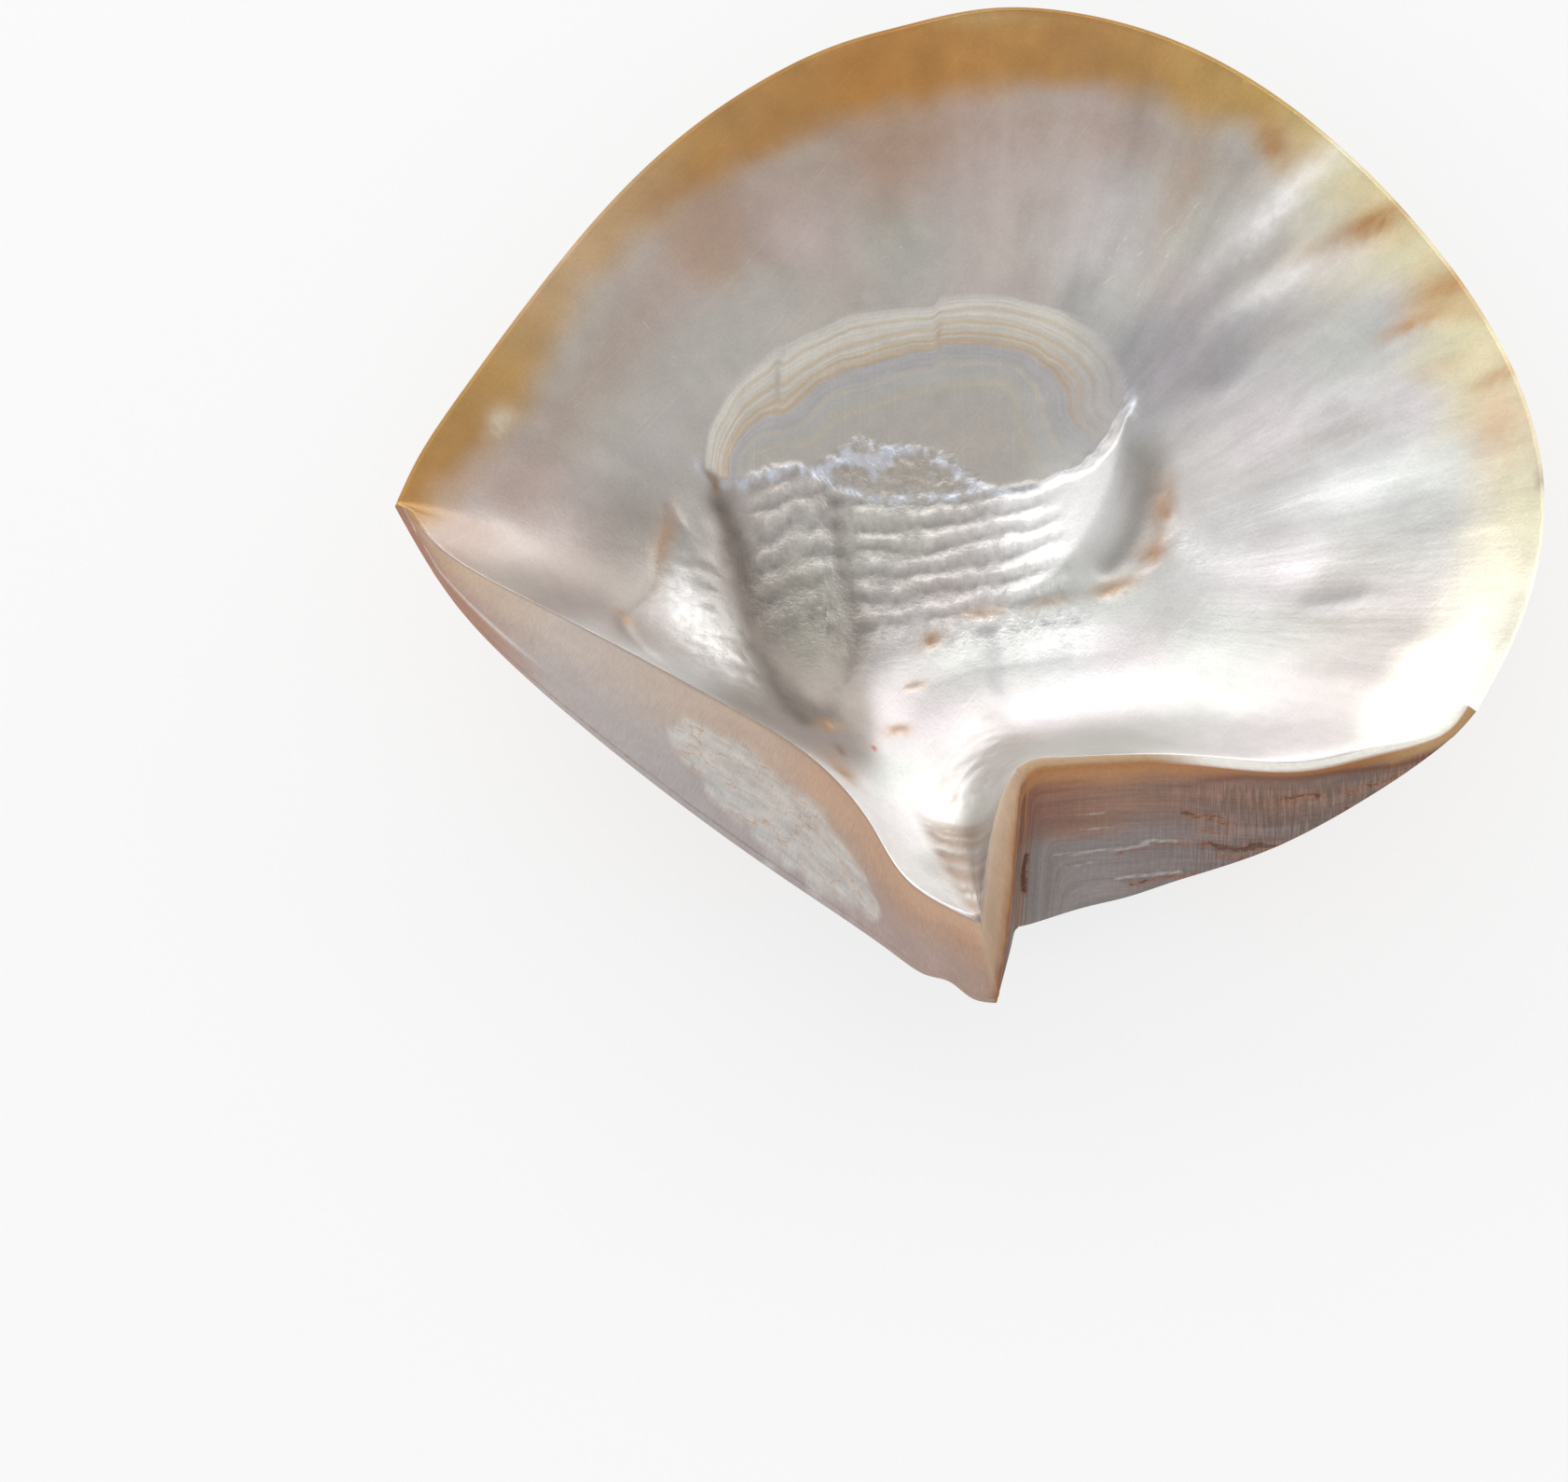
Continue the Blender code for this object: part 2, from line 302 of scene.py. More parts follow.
def hexColour(code):
    # sRGB hex to linear
    value = np.array([int(code[k : k + 2], 16) for k in (1, 3, 5)]) / 255
    return np.where(value <= 0.04045, value / 12.92, ((value + 0.055) / 1.055) ** 2.4)


def toneAlong(share, tones, column=1):
    # colours eased between the rows of a table, which starts each row with its share
    codes = np.array([hexColour(row[column]) for row in tones])
    return np.column_stack([np.interp(share, [row[0] for row in tones], codes[:, k]) for k in range(3)])


def mixTone(colour, tone, amount):
    tone = hexColour(nacre["palette"].get(tone, tone)) if isinstance(tone, str) else tone
    return colour + (tone - colour) * np.clip(amount, 0, 1)[:, None]


marks = {
    "routes": {
        "scarTop": [
            (-37.5, 6.9), (-37.4, 11), (-36.4, 15), (-34.5, 18.8), (-31.5, 22.5), (-26.8, 27.1),
            (-22.1, 30), (-17.3, 32.6), (-12.5, 34.3), (-4.3, 35.7), (1.1, 36.3), (6.6, 36), (12, 34.8),
            (16, 32.7), (19.3, 30.1), (21.3, 27.4), (23.2, 23.7), (23.8, 20.1),
        ],
        "scarLip": [
            (-37.5, 6.9), (-34.8, 5.7), (-31.5, 6.5), (-27.5, 8.6), (-23.7, 9.6), (-21.4, 9.8),
            (-19.4, 11.3), (-17.4, 12.9), (-15.1, 14.6), (-13.3, 14), (-9.9, 13.8), (-5.9, 13.2),
            (-3.2, 12.2), (-1.6, 11.6), (-0.5, 10.3), (1.6, 9), (3.2, 7.7), (6.1, 6.9), (8.8, 7),
            (11.5, 7.4), (14.2, 8.5), (16.9, 9.7), (19.3, 11.9), (21, 13.9), (22, 16.1), (23, 18.1),
            (23.8, 20.1),
        ],
        "shelfLip": [
            (-21.8, 8.6), (-18.7, 6.7), (-14, 4.9), (-11.4, 4.6), (-4.6, 4.9), (0.8, 5.8), (3.6, 7.2),
        ],
        "groove": [
            (-20.4, 9.5), (-19, 3.8), (-18.1, -3.5), (-16.6, -11.1), (-15.8, -19), (-17.6, -27.9),
            (-19.1, -38.5),
        ],
        "valleyEdge": [
            (-37.2, 5.5), (-35.7, 0.8), (-33.8, -7), (-32.1, -16.3), (-29.8, -23), (-27, -30.6),
            (-23, -39),
        ],
        "leftFold": [
            (-42.8, 7.8), (-42.8, -2.8), (-43.7, -8), (-44.8, -14.6), (-48.2, -21.3), (-46.6, -27),
            (-42.5, -32.5), (-37, -36.5),
        ],
        "leftCrest": [
            (-42.6, 0), (-39.4, -4.8), (-37.2, -9.1), (-35.6, -13.8), (-34, -20.9), (-31.6, -27),
            (-29.4, -33),
        ],
        "horn": [
            (23.8, 20.8), (23.2, 17.3), (22.6, 13.1), (21, 6), (18.6, 0.4), (15.2, -5.3), (11, -9.7),
            (5, -12.5),
        ],
        "hornValley": [(25, 15), (25.6, 8.4), (24.9, 1.1), (22.4, -4.6), (18, -9)],
        "pallialLine": [
            (29, 9), (29.2, 3.5), (28.3, -2), (25.5, -8), (20.2, -12.2), (13, -13.2), (7, -14),
            (-1, -14.8), (-6.3, -17), (-10.3, -19.2), (-13.4, -22.5), (-15.5, -27),
        ],
        "softFold": [(2.3, -14.7), (3.1, -20.3), (3.3, -26.9), (5.5, -33)],
    },
    "terraces": [  # growth steps of the scar: depth below its upper edge, height
        (0.1, 0.09), (1.2, 0.06), (2.3, 0.08), (3.3, 0.06), (4.6, 0.1), (7.4, 0.05),
    ],
    "scarLength": 90,  # of its upper edge
    "scarDepth": 16,  # that its bands of colour span
    "rayReach": 45,  # how far out the soft rays are as wide as they are given
    # ripples under the scar, and those to their left: some X, and where each crest lies at them
    "crestX": [-15, -10, -4.8, 0.6, 6, 10, 15],
    "crestY": [
        [6.6, 6.8, 7, 7.6, 8.6, 9.3, 10.4], [3.1, 3.2, 3.5, 4.2, 5.2, 5.9, 7],
        [-0.6, -0.7, -0.3, 0.7, 1.7, 2.3, 3.5], [-4.4, -4.6, -4.2, -2.7, -1.7, -0.9, 0.3],
        [-8.2, -8, -7.6, -6.5, -5.6, -4.9, -3.6], [-13.3, -13.1, -11.3, -10.4, -9.6, -9.2, -8.2],
        [-18.9, -17.1, -15.1, -13.8, -13.2, -12.8, -12], [-24.6, -22, -19.5, -18, -17, -16.5, -16],
    ],
    "panelX": [-31, -26, -21],
    "panelY": [
        [7.8, 9.6, 11.6], [4, 6.2, 8.4], [0.9, 2.8, 4.7], [-5, -2.6, -0.1], [-10.4, -7.7, -5],
        [-17.6, -13.9, -9.9], [-24, -20, -15.5],
    ],
    "folds": [  # soft folds that fan out towards the margin: route, width, height
        ([(24.5, 22.8), (30.7, 30.4), (36.1, 36.5), (41.6, 43.3), (49.7, 48.4), (56.8, 53.2)], 4, 0.55),
        ([(29, 18), (35.8, 25.4), (41.3, 31.4), (49.3, 37)], 2.8, 0.3),
        ([(35.7, 21.1), (42.5, 28.4), (49.2, 32.7), (57.1, 35.5)], 3.2, 0.4),
        ([(20.1, 33.1), (26.9, 39.2), (33.7, 46.6), (39.2, 51.4)], 3.4, -0.3),
        ([(29, 22), (34.4, 20.2), (41.5, 20.4)], 3.2, -0.5), ([(36, 3), (48, 6.5), (62, 8)], 3.6, 0.3),
        ([(36, -4), (50, -3), (64, -4)], 3.2, 0.25), ([(30, -9), (42, -12), (56, -15)], 3.6, 0.25),
        ([(-3, 40), (0, 52), (3, 64)], 4, -0.2), ([(12, 41), (17, 52), (22, 62)], 4, 0.25),
        ([(-44, 12), (-55, 13), (-65, 9)], 4.5, -0.3),
    ],
    "scratches": [  # routes of the long ones
        [(-46.2, 26.6), (-41.6, 22.4), (-36.9, 21.1)], [(-55.9, 30.9), (-54.4, 29.2)],
        [(20, 38.6), (41.8, 65.3)], [(16, 33.4), (36.5, 49)], [(25, 34), (34, 45.5)],
        [(-14, 39.5), (-6, 45)], [(71.5, -3), (77, 1.5)],
    ],
    "pits": [  # place, length, width, turn in degrees, depth
        (28.3, 5.1, 3, 0.9, 80, 0.35), (28.5, -0.9, 2.6, 1.1, 75, 0.45), (25.3, -6.7, 1.8, 1.5, 30, 0.45),
        (20.2, -10.9, 2.6, 1.1, 15, 0.45), (11.6, -12.7, 1.6, 0.6, 10, 0.2),
        (2.1, -13.9, 1.8, 0.7, 8, 0.25), (-5, -18.5, 1.2, 0.8, 40, 0.45),
        (-7.8, -26.7, 1.1, 0.6, 20, 0.25), (-10.3, -35.3, 1.3, 0.8, 20, 0.4),
        (-19.7, -36.5, 1.5, 1.2, 60, 0.4), (-17.6, -47.6, 2.4, 1.8, 130, 0.45),
        (51.8, -17.8, 4.2, 1.5, -8, 0.6), (39.8, 24.8, 0.7, 0.7, 0, -0.5),
    ],
}


def crestNumber(x, y, crestX, crestY):
    # how many crests lie above a point, with the part of the way to the next one
    number = np.zeros(x.shape)
    heights = [np.interp(x, crestX, row) for row in crestY]
    for upper, lower in zip(heights[:-1], heights[1:]):
        number += np.clip((upper - y) / (upper - lower), 0, 1)
    return number


def window(share, rise, fall):
    # 0 at both ends of a line and 1 between: up to 1 by rise, down again from fall
    return between(share, 0, rise, fall, 1)


def spot(x, y, place):
    # a bell that is longer along its turn than across it
    px, py, length, width, turn = place
    c, s = np.cos(np.radians(turn)), np.sin(np.radians(turn))
    u, v = (x - px) * c + (y - py) * s, (y - py) * c - (x - px) * s
    return np.exp(-((u / length) ** 2) - ((v / width) ** 2))


nacre = {
    "palette": {
        "white": "#eae8e6", "silver": "#dad9d8", "pearl": "#c7c4c2", "grey": "#afaaa5",
        "coolGrey": "#a09fa1", "blush": "#b8aca6", "dusk": "#a58b76", "cream": "#d3ccbc",
        "greenGold": "#d8d3b3", "peach": "#dab898", "straw": "#b29a69", "amber": "#a6763d",
        "ochre": "#bc8f5e", "horn": "#b18d6e", "paleHorn": "#bda68f", "shade": "#928a82",
        # the lip tone is a painted highlight on the scar's torn lip and on the shelf
        # the valley tone is painted shade in the valleys and the groove
        "umber": "#7d6047", "red": "#a8301c", "lip": "#c3c6cf", "shelf": "#a39a90", "valley": "#655c54",
    },
    "clouds": {  # soft clouds inside, as middle and reach
        "white": [(-11, -56, 8)],
        "silver": [(52, -2, 13), (42, -10, 8), (14, -26, 9), (14, 2, 7)],
        "pearl": [(20, 44, 8), (40, 8, 14), (30, -27, 13), (-2, -28, 9), (-43, -31, 5)],
        "grey": [
            (-58, 12, 13), (-36, 30, 10), (-4, 42, 8), (-50, 31, 10), (40, 45, 8), (-40, -18, 6),
            (28, 36, 8), (17, -41, 6), (7, -37, 5), (0, -58, 5), (-10, -2, 9), (52, -20, 13), (0, 18, 12),
        ],
        "coolGrey": [(24, 22, 9), (35, 23, 8)],
        "blush": [(-63, -6, 9), (8, 50, 12), (-22, 50, 12)],
        "dusk": [(-40, 43, 10), (-12, 58, 9)],
        "cream": [(52, 44, 7)],
        "shade": [(-24, -22, 8), (-22, -34, 6), (-53, -12, 8)],
    },
    "goldLine": [
        (-78, -15), (-71, -3), (-64.3, 8), (-57.5, 19.5), (-50.4, 32), (-43.5, 42.2), (-33.4, 51.6),
        (-23, 57.8), (-12.4, 62.6), (-4.1, 65.3), (6.9, 67), (17.9, 65.9), (28.7, 62.6), (36.7, 58.9),
        (45.9, 53.4), (53.6, 46.4), (59.7, 36.5), (64.4, 26.8), (67.5, 14.3), (67.9, -0.7), (66.7, -15.9),
        (63, -31.2), (55, -52),
    ],
    "goldEnds": (0.05, 0.92),  # shares of that line at which the margin begins and ends
    "goldTones": [  # share of the way round the margin, from the hinge's end to the notch
        (0, "#a67b44"), (0.08, "#ab8752"), (0.16, "#b79a78"), (0.27, "#a7804d"), (0.38, "#a6763c"),
        (0.5, "#a97e48"), (0.6, "#b09055"), (0.67, "#cebf97"), (0.8, "#d6cba6"), (0.88, "#e0d8c0"),
        (1, "#e4e0d0"),
    ],
    "patches": {  # middle, length, width, turn in degrees, strength
        "amber": [
            (45.5, 55, 6, 2.4, -70, 0.7), (58.5, 40.3, 7, 2.3, 23, 0.95), (-27, 57, 11, 2, 27, 0.5),
            (-41, 47.5, 8, 1.6, 43, 0.45),
        ],
        "ochre": [
            (69, 29, 5, 1.6, 24, 0.75), (63.8, 23.8, 4.5, 1.2, 17, 0.7), (75, 13.4, 4.5, 1.4, 25, 0.7),
        ],
        "dusk": [(52, 36.5, 4, 2.5, 40, 0.6), (32, 50, 10, 3.6, 62, 0.6)],
        "greenGold": [
            (54, 50, 7, 3.2, 33, 0.8), (62, 34.2, 7, 2.4, 26, 0.7), (66, 18.8, 6, 2.4, 21, 0.7),
            (70, 8, 5, 3.5, 43, 0.6), (77, -9, 3, 9, 0, 0.6),
        ],
        "peach": [(74.5, 6, 4, 6, 0, 0.7)],
        "straw": [(-20, 73, 7, 1.6, 26, 0.6), (4, 78, 9, 1.6, 0, 0.5)],
        "cream": [(-66, 7.5, 2.6, 1.6, 55, 0.6)],
        # the first three white patches are painted highlights: two along the raised folds at the upper right,
        # one on the left fold's bumpy flank
        "white": [
            (45.5, 45, 12, 2.6, 43, 0.8), (46, 33.5, 10, 2.4, 20, 0.65), (-36.5, -24, 9, 4, -62, 0.55),
            (31.8, -4.5, 4.5, 2.4, -70, 0.6),
        ],
        "silver": [(55, 15, 9, 2, 12, 0.6), (-40, -15, 6, 2.4, -80, 0.7)],
        "pearl": [(24, 40, 10, 3, 60, 0.6), (-66, -8, 6, 2, -35, 0.4)],
        "blush": [(14, 54, 10, 3, 75, 0.5)],
        "grey": [
            (42, 36, 9, 1.6, 33, 0.6), (48, 27, 10, 2.4, 14, 0.5), (53, 8.5, 9, 1.8, 6, 0.5),
            (3.2, -32, 3.5, 1.7, -60, 0.7),
        ],
        # the second coolGrey patch is painted shade along the soft fold
        "coolGrey": [(51, -18.2, 4.8, 1.4, -8, 0.7), (4, -20, 5, 0.8, -85, 0.5)],
        "shade": [
            (27, 6, 5.5, 1.8, 84, 0.8), (-26.8, 22.6, 2.8, 0.6, 84, 0.6), (-45, -15, 4.8, 1.2, 68, 0.85),
            (-25, -30, 9, 3, -62, 0.45), (-17.5, -30, 7, 2, -75, 0.6), (-2.3, -60.5, 5.5, 3, 65, 0.35),
        ],
        "umber": [
            (79.4, -4.5, 2.6, 0.7, 88, 0.5), (-36, 5.2, 2.2, 0.8, -62, 0.9),
            (-18.4, -41.4, 1.2, 0.8, -70, 0.7),
        ],
        "horn": [
            (-3.4, 30.6, 2.6, 0.7, 90, 0.7), (28.6, 2.2, 4.6, 1.5, 80, 0.8),
            (26.6, -5.2, 2.6, 1.8, 50, 0.8), (21, -10.3, 3.6, 1.4, 15, 0.8),
            (-5.2, -17.8, 2, 1.3, 40, 0.8), (-10.3, -34.9, 1.9, 1.1, 25, 0.8),
            (-19.9, -36, 2, 1.5, 20, 0.8), (-18.2, -46.6, 3.4, 1.8, 120, 0.85),
            (-43, -5, 4.6, 1.2, 80, 0.7), (-48.2, -21.4, 1.6, 0.9, -60, 0.8),
        ],
        "paleHorn": [
            (11.8, -12.2, 3, 0.9, 10, 0.7), (2.2, -13.4, 3.4, 1.1, 8, 0.8),
            (-7.8, -26.4, 1.6, 0.9, 20, 0.7),
        ],
        "red": [(-13.6, -38.8, 0.35, 0.35, 0, 0.9)],
    },
}


def blendClouds(x, y, clouds):
    # each cloud counts by how near its middle is, and the counts are shared out to add up to one
    weights, colours = [], []
    for tone, places in clouds.items():
        for px, py, reach in places:
            weights.append((1 + ((x - px) ** 2 + (y - py) ** 2) / reach**2) ** -3)
            colours.append(hexColour(nacre["palette"][tone]))
    return np.einsum("zn,zc->nc", np.array(weights) / sum(weights), np.array(colours))


def dressBowl(x, y):
    # The bowl's height over its plain dish is a sum of the marks that the animal left in it. Its
    # colours follow the same marks, and so does what its patterns need, which is returned with them.
    noise = partial(softNoise, x, y)
    fine = noise(0.9, 3)
    rough = softNoise(x + 0.6 * fine, y, 2.2, 4)
    way = {name: lineDistance(x, y, route) for name, route in marks["routes"].items()}

    # the muscle scar: depth inside its edge (negative outside), depth below its upper edge along the
    # growth steps, and how near its torn lower lip is
    (top, topShare), (lip, _) = way["scarTop"], way["scarLip"]
    topLine = smoothCurve(marks["routes"]["scarTop"], 90)
    lipLine = smoothCurve(marks["routes"]["scarLip"], 120)
    inside = isInside(x, y, np.vstack([topLine, lipLine[::-1]]))
    depth = np.minimum(abs(top), abs(lip)) * np.where(inside, 1, -1)
    nearLip = smoothStep(abs(top) - abs(lip), -1.5, 1.5)
    facet = 0.9 * smoothStep(x, -4.2, -3.2) - 0.6 * smoothStep(x, -27, -26.2)
    crowded = 0.5 + 0.5 * smoothStep(topShare, 0, 0.22)
    crowded *= 1 + 0.25 * smoothStep(topShare, 0.62, 0.95)
    terrace = abs(top) / crowded + facet + 0.5 * noise(6, 5) + 0.15 * noise(1.8, 14)
    torn = depth + nearLip * (0.35 * rough + 0.3 * fine)
    within = smoothStep(torn, -0.45, 0.45)
    steps = sum(size * smoothStep(terrace, at, at + 0.5) for at, size in marks["terraces"])
    creases = 0.26 * bump(x + 3.5, 0.8) + 0.2 * bump(x + 26.8 - 0.1 * (y - 22), 0.7)
    floor = -steps * (1 - 0.5 * nearLip) - creases * (depth < 8) * smoothStep(depth, 0.5, 2)
    floor += 0.035 * softNoise(x, y / 7, 0.9, 15)
    beyond = 0.12 * nearLip * np.exp(-np.maximum(-depth, 0) / 6)

    # the rough shelf beside it
    shelf = way["shelfLip"][0]
    onShelf = smoothStep(shelf + 0.3 * rough + 0.2 * fine, -0.4, 0.4) * (1 - within)
    onShelf *= between(x, -22.5, -20.5, 2, 4) * (y < 20)
    height = within * floor + (1 - within) * beyond - 0.28 * onShelf
    height += onShelf * (0.16 * fine + 0.1 * noise(0.7, 6) + 0.08 * np.sin(y * 2.6 + rough))
    height += 0.05 * bump(torn, 0.6) * nearLip * (0.5 + 0.9 * fine)

    # ripples, and the wrinkles that cut them into short lengths
    number = crestNumber(x, y, marks["crestX"], marks["crestY"])
    drift = 0.16 * noise(3.1, 16)
    wander = drift + 0.05 * rough
    cut = softNoise(x + 0.4 * rough, number, 1.1, 7)
    wide = softNoise(x, number * 2, 4, 8)
    ending = 1 - smoothStep(x + 0.25 * y, 9, 16)
    field = smoothStep(x, -17, -14.5) * ending
    field *= between(number, 0.05, 0.5, 5.2, 6.6)
    field *= (1 - within) * (1 - onShelf)
    turn = 2 * np.pi * (number + wander)
    height += field * (0.18 + 0.06 * wide + 0.09 * cut) * (np.sin(turn) - 0.15 * np.sin(2 * turn))
    height += field * 0.05 * softNoise(x, y / 5, 1, 9)
    panelNumber = crestNumber(x, y, marks["panelX"], marks["panelY"])
    panelCut = softNoise(x - 0.3 * y, panelNumber, 1, 10)
    edge, edgeShare = way["valleyEdge"]
    panel = smoothStep(edge, 2.6, 5.5) * (1 - smoothStep(x, -21.5, -19)) * (1 - within)
    panel *= between(panelNumber, 0.05, 0.5, 4.2, 5.8)
    turn = 2 * np.pi * (panelNumber + 0.8 * wander)
    height += panel * (0.21 + 0.14 * panelCut) * (np.sin(turn) - 0.15 * np.sin(2 * turn))

    # grooves, the left fold with its bumpy flank, and the horn with the valley beside it
    groove, grooveShare = way["groove"]
    height -= 0.42 * bump(groove + 0.3 * rough, 1.7) * window(grooveShare, 0.12, 0.8) * (1 - within)
    drop = smoothStep(edge, -3, 2.4) - smoothStep(edge, 3, 9)
    height -= 0.85 * window(edgeShare, 0.12, 0.8) * drop
    (fold, foldShare), (crest, _) = way["leftFold"], way["leftCrest"]
    flank = np.clip(fold / (abs(fold) + abs(crest) + 1e-6), 0, 1) * (crest < 0)
    flank = np.where((crest >= 0) & (fold > 0), 1, flank)
    raised = flank * np.exp(-np.maximum(crest, 0) / 5)
    bumpy = softNoise(x + 0.3 * y, y, 1.9, 11) + 0.6 * noise(1.3, 12)
    ridgeEnds = between(y, -39, -30, -3, 5)
    height += (0.5 + 0.15 * bumpy * (crest < 1.5)) * raised * ridgeEnds
    height -= 0.45 * bump(fold, 0.9) * between(foldShare, 0.1, 0.4, 0.9, 1)
    horn, hornShare = way["horn"]
    hornEnds = between(hornShare, -0.05, 0.15, 0.75, 1)
    west = np.exp(-((np.maximum(-horn, 0) / 8) ** 1.5))
    east = np.exp(-((np.maximum(horn, 0) / 2.2) ** 2))
    height += 2 * hornEnds * np.where(horn < 0, west, east) * (1 - smoothStep(torn, -2.2, 0.3))
    dip, dipShare = way["hornValley"]
    height -= 0.6 * bump(dip, 2.3) * window(dipShare, 0.3, 0.9)

    # below the pallial line the nacre swells towards the notch
    line, lineShare = way["pallialLine"]
    swell = smoothStep(line, 0, 9) * np.exp(-np.maximum(line - 9, 0) / 14)
    swell *= between(x, -18, -8, 10, 32)
    height += 0.85 * swell * smoothStep(lineShare, 0.05, 0.4)
    softFold, softShare = way["softFold"]
    softEnds = window(softShare, 0.2, 0.7)
    height -= 0.35 * bump(softFold, 1.6) * softEnds
    for route, width, rise in marks["folds"]:
        away, share = lineDistance(x, y, route, 30)
        height += rise * bump(away, width) * window(share, 0.25, 0.7) * (1 - within)
    for *place, deep in marks["pits"]:
        height -= 0.6 * deep * spot(x, y, place) * (1 + 0.4 * fine)

    # strokes that run down the wall of the beak's cavity to the ridge, and faint wisps that bend round
    # the notch's corner
    across, onward = 0.42 * x + 0.91 * y, 0.91 * x - 0.42 * y
    strokes = softNoise(onward / 9, across, 0.8, 17) + 0.4 * softNoise(onward / 4, across, 0.5, 21)
    stroked = smoothStep(x + 0.3 * (y + 56), -7.8, -5.6) * smoothStep(-y - 0.4 * x, 51, 58)
    stroked *= 1 - smoothStep(x, 4, 8)
    height += 0.08 * stroked * strokes
    far, turn = np.hypot(x - 8, y + 51), np.arctan2(y + 51, x - 8)
    far = far + 1.2 * noise(7, 18)
    wisps = softNoise(far, 3 * turn, 1, 19) + 0.5 * softNoise(far, 5 * turn, 0.6, 20)
    wispy = between(far, 3.5, 6.5, 13, 20)
    wispy *= smoothStep(y, -54, -47) * (1 - smoothStep(x, 6, 15))
    height += 0.07 * wispy * wisps

    # the slow swell and the grain of polished nacre
    swells = 0.17 * noise(17, 31) + 0.07 * noise(7.5, 32)
    grain = 0.018 * noise(3, 33) + 0.006 * noise(1.4, 34)
    height += (1 - 0.8 * within) * (swells + grain)

    # colours: clouds of grey, blush and pearl with faint rays, then the gold margin and its streaks
    warp = [3 * noise(9, seed) for seed in (40, 41)]
    colour = blendClouds(x + warp[0], y + warp[1], nacre["clouds"])
    ray, far = np.arctan2(y + 8, x + 2), np.hypot(x + 2, y + 8)
    rays = softNoise(ray * 7, far / 40, 1, 51) + 0.6 * softNoise(ray * 17, far / 30, 1, 52)
    clouds = 0.09 * noise(13, 42) + 0.05 * noise(6, 43)
    rightward = 0.7 + 0.7 * smoothStep(x, 10, 40)
    clouds += 0.09 * rays * rightward * smoothStep(far, 26, 50) * smoothStep(y, -34, -4)
    colour *= (1 + clouds)[:, None]
    colour *= 1 + noise(11, 45)[:, None] * np.array([0.03, -0.02, 0.01])

    gold, share = lineDistance(x, y, nacre["goldLine"], 120)
    start, end = nacre["goldEnds"]
    share = np.clip((share - start) / (end - start), 0, 1)
    streak = softNoise(30 * share, gold / 22, 1, 46) + 0.5 * softNoise(85 * share, gold / 16, 1, 47)
    rightSide = smoothStep(share, 0.52, 0.66)
    wander = 1.8 * noise(14, 48) + 0.8 * noise(5, 50) + (0.4 + 2.2 * rightSide) * streak
    golden = toneAlong(share + 0.01 * streak, nacre["goldTones"])
    golden *= (1 + (0.04 + 0.1 * rightSide) * streak + 0.08 * noise(5, 49))[:, None]
    ruddy = smoothStep(streak + 0.4 * noise(9, 53), 0.35, 0.9) * (1 - smoothStep(share, 0.8, 0.9))
    golden = mixTone(golden, "#b78c58", 0.45 * (rightSide * ruddy))

    # colours of the scar's lip, the shelf, the valleys and the horn
    ragged = 0.75 + 0.9 * fine + 0.4 * rough
    onRoughShelf = onShelf * smoothStep(rough + 0.2 * (y - 10.5), 0, 0.8)
    # where painted shade lies in the valley beside the left crest: a dark band on its steep side, wider
    # further down
    side = np.where(edge < 0.8, 1.9, 2.2 + 3.4 * edgeShare)
    dark = bump(edge - 0.8 + 0.5 * rough, side) * window(edgeShare, 0.1, 0.95)
    # where the painted highlight on the horn's west flank lies
    west = smoothStep(-horn, -0.6, 0.8) * np.exp(-((np.maximum(-horn, 0) / 8.5) ** 3))
    for tone, amount in (
        ("#a48b7b", 0.5 * bump(gold + 5, 5) * (1 - rightSide)),
        (golden, smoothStep(gold + wander, -3 - 1.5 * rightSide, 4 + rightSide)),
        ("shelf", onShelf * (0.7 + 0.4 * fine)),
        # painted highlight: the pale blue lip tone along the scar's torn lip, then as glints on the shelf's
        # edge and its rough face
        ("lip", nearLip * bump(torn + 0.7, 0.8) * ragged),
        ("#9a9ba1", 0.7 * nearLip * bump(torn + 0.2, 0.7) * smoothStep(x, 3, 9)),
        ("lip", ragged * bump(shelf - 0.4, 0.9) * onShelf),
        ("lip", 0.8 * onRoughShelf),
        # a painted shadow along the scar's side of its torn lip
        ("#7f7a75", 0.5 * nearLip * bump(torn - 0.25, 0.35)),
        # painted shade down the valley and in the groove
        ("valley", dark),
        ("valley", 0.45 * bump(groove, 1.8) * window(grooveShare, 0.15, 0.8)),
        # painted highlight: white over the horn's west flank
        ("white", 0.85 * west * window(hornShare, 0.03, 0.75) * (1 - within)),
        # painted shade in the dip beside the horn
        ("#8a847e", 0.75 * bump(dip, 2.6) * window(dipShare, 0.2, 0.85)),
    ):
        colour = mixTone(colour, tone, amount)
    # painted light and shade on the ripples under the scar and in the panel: the colour is lightened along
    # each crest and darkened in each trough
    creased = smoothStep(x, -33, -30) * ending * (1 - within)
    creased *= between(-y, -13, -8, 15, 26) * (1 - onShelf)
    number = np.where(x < -20, panelNumber, number) + drift
    rippleLitAndShaded = np.sin(2 * np.pi * number) * (0.18 + 0.16 * softNoise(x, number, 1.1, 7))
    colour *= (1 + creased * rippleLitAndShaded)[:, None]
    stained = np.zeros(x.shape)
    for tone, places in nacre["patches"].items():
        for *place, amount in places:
            mask = spot(x + 0.35 * rough, y + 0.35 * fine, place)
            colour = mixTone(colour, tone, amount * mask * (1 + 0.25 * fine))
            stained = np.maximum(stained, amount * mask)
    # painted shade: cool grey along the side of the soft fold's groove
    colour = mixTone(colour, "coolGrey", 0.4 * bump(softFold - 0.6, 1.5) * softEnds)
    colour = mixTone(colour, "#8e7c6e", stroked * (0.7 + 0.45 * strokes))
    colour = mixTone(colour, "blush", wispy * (0.2 + 0.7 * wisps))

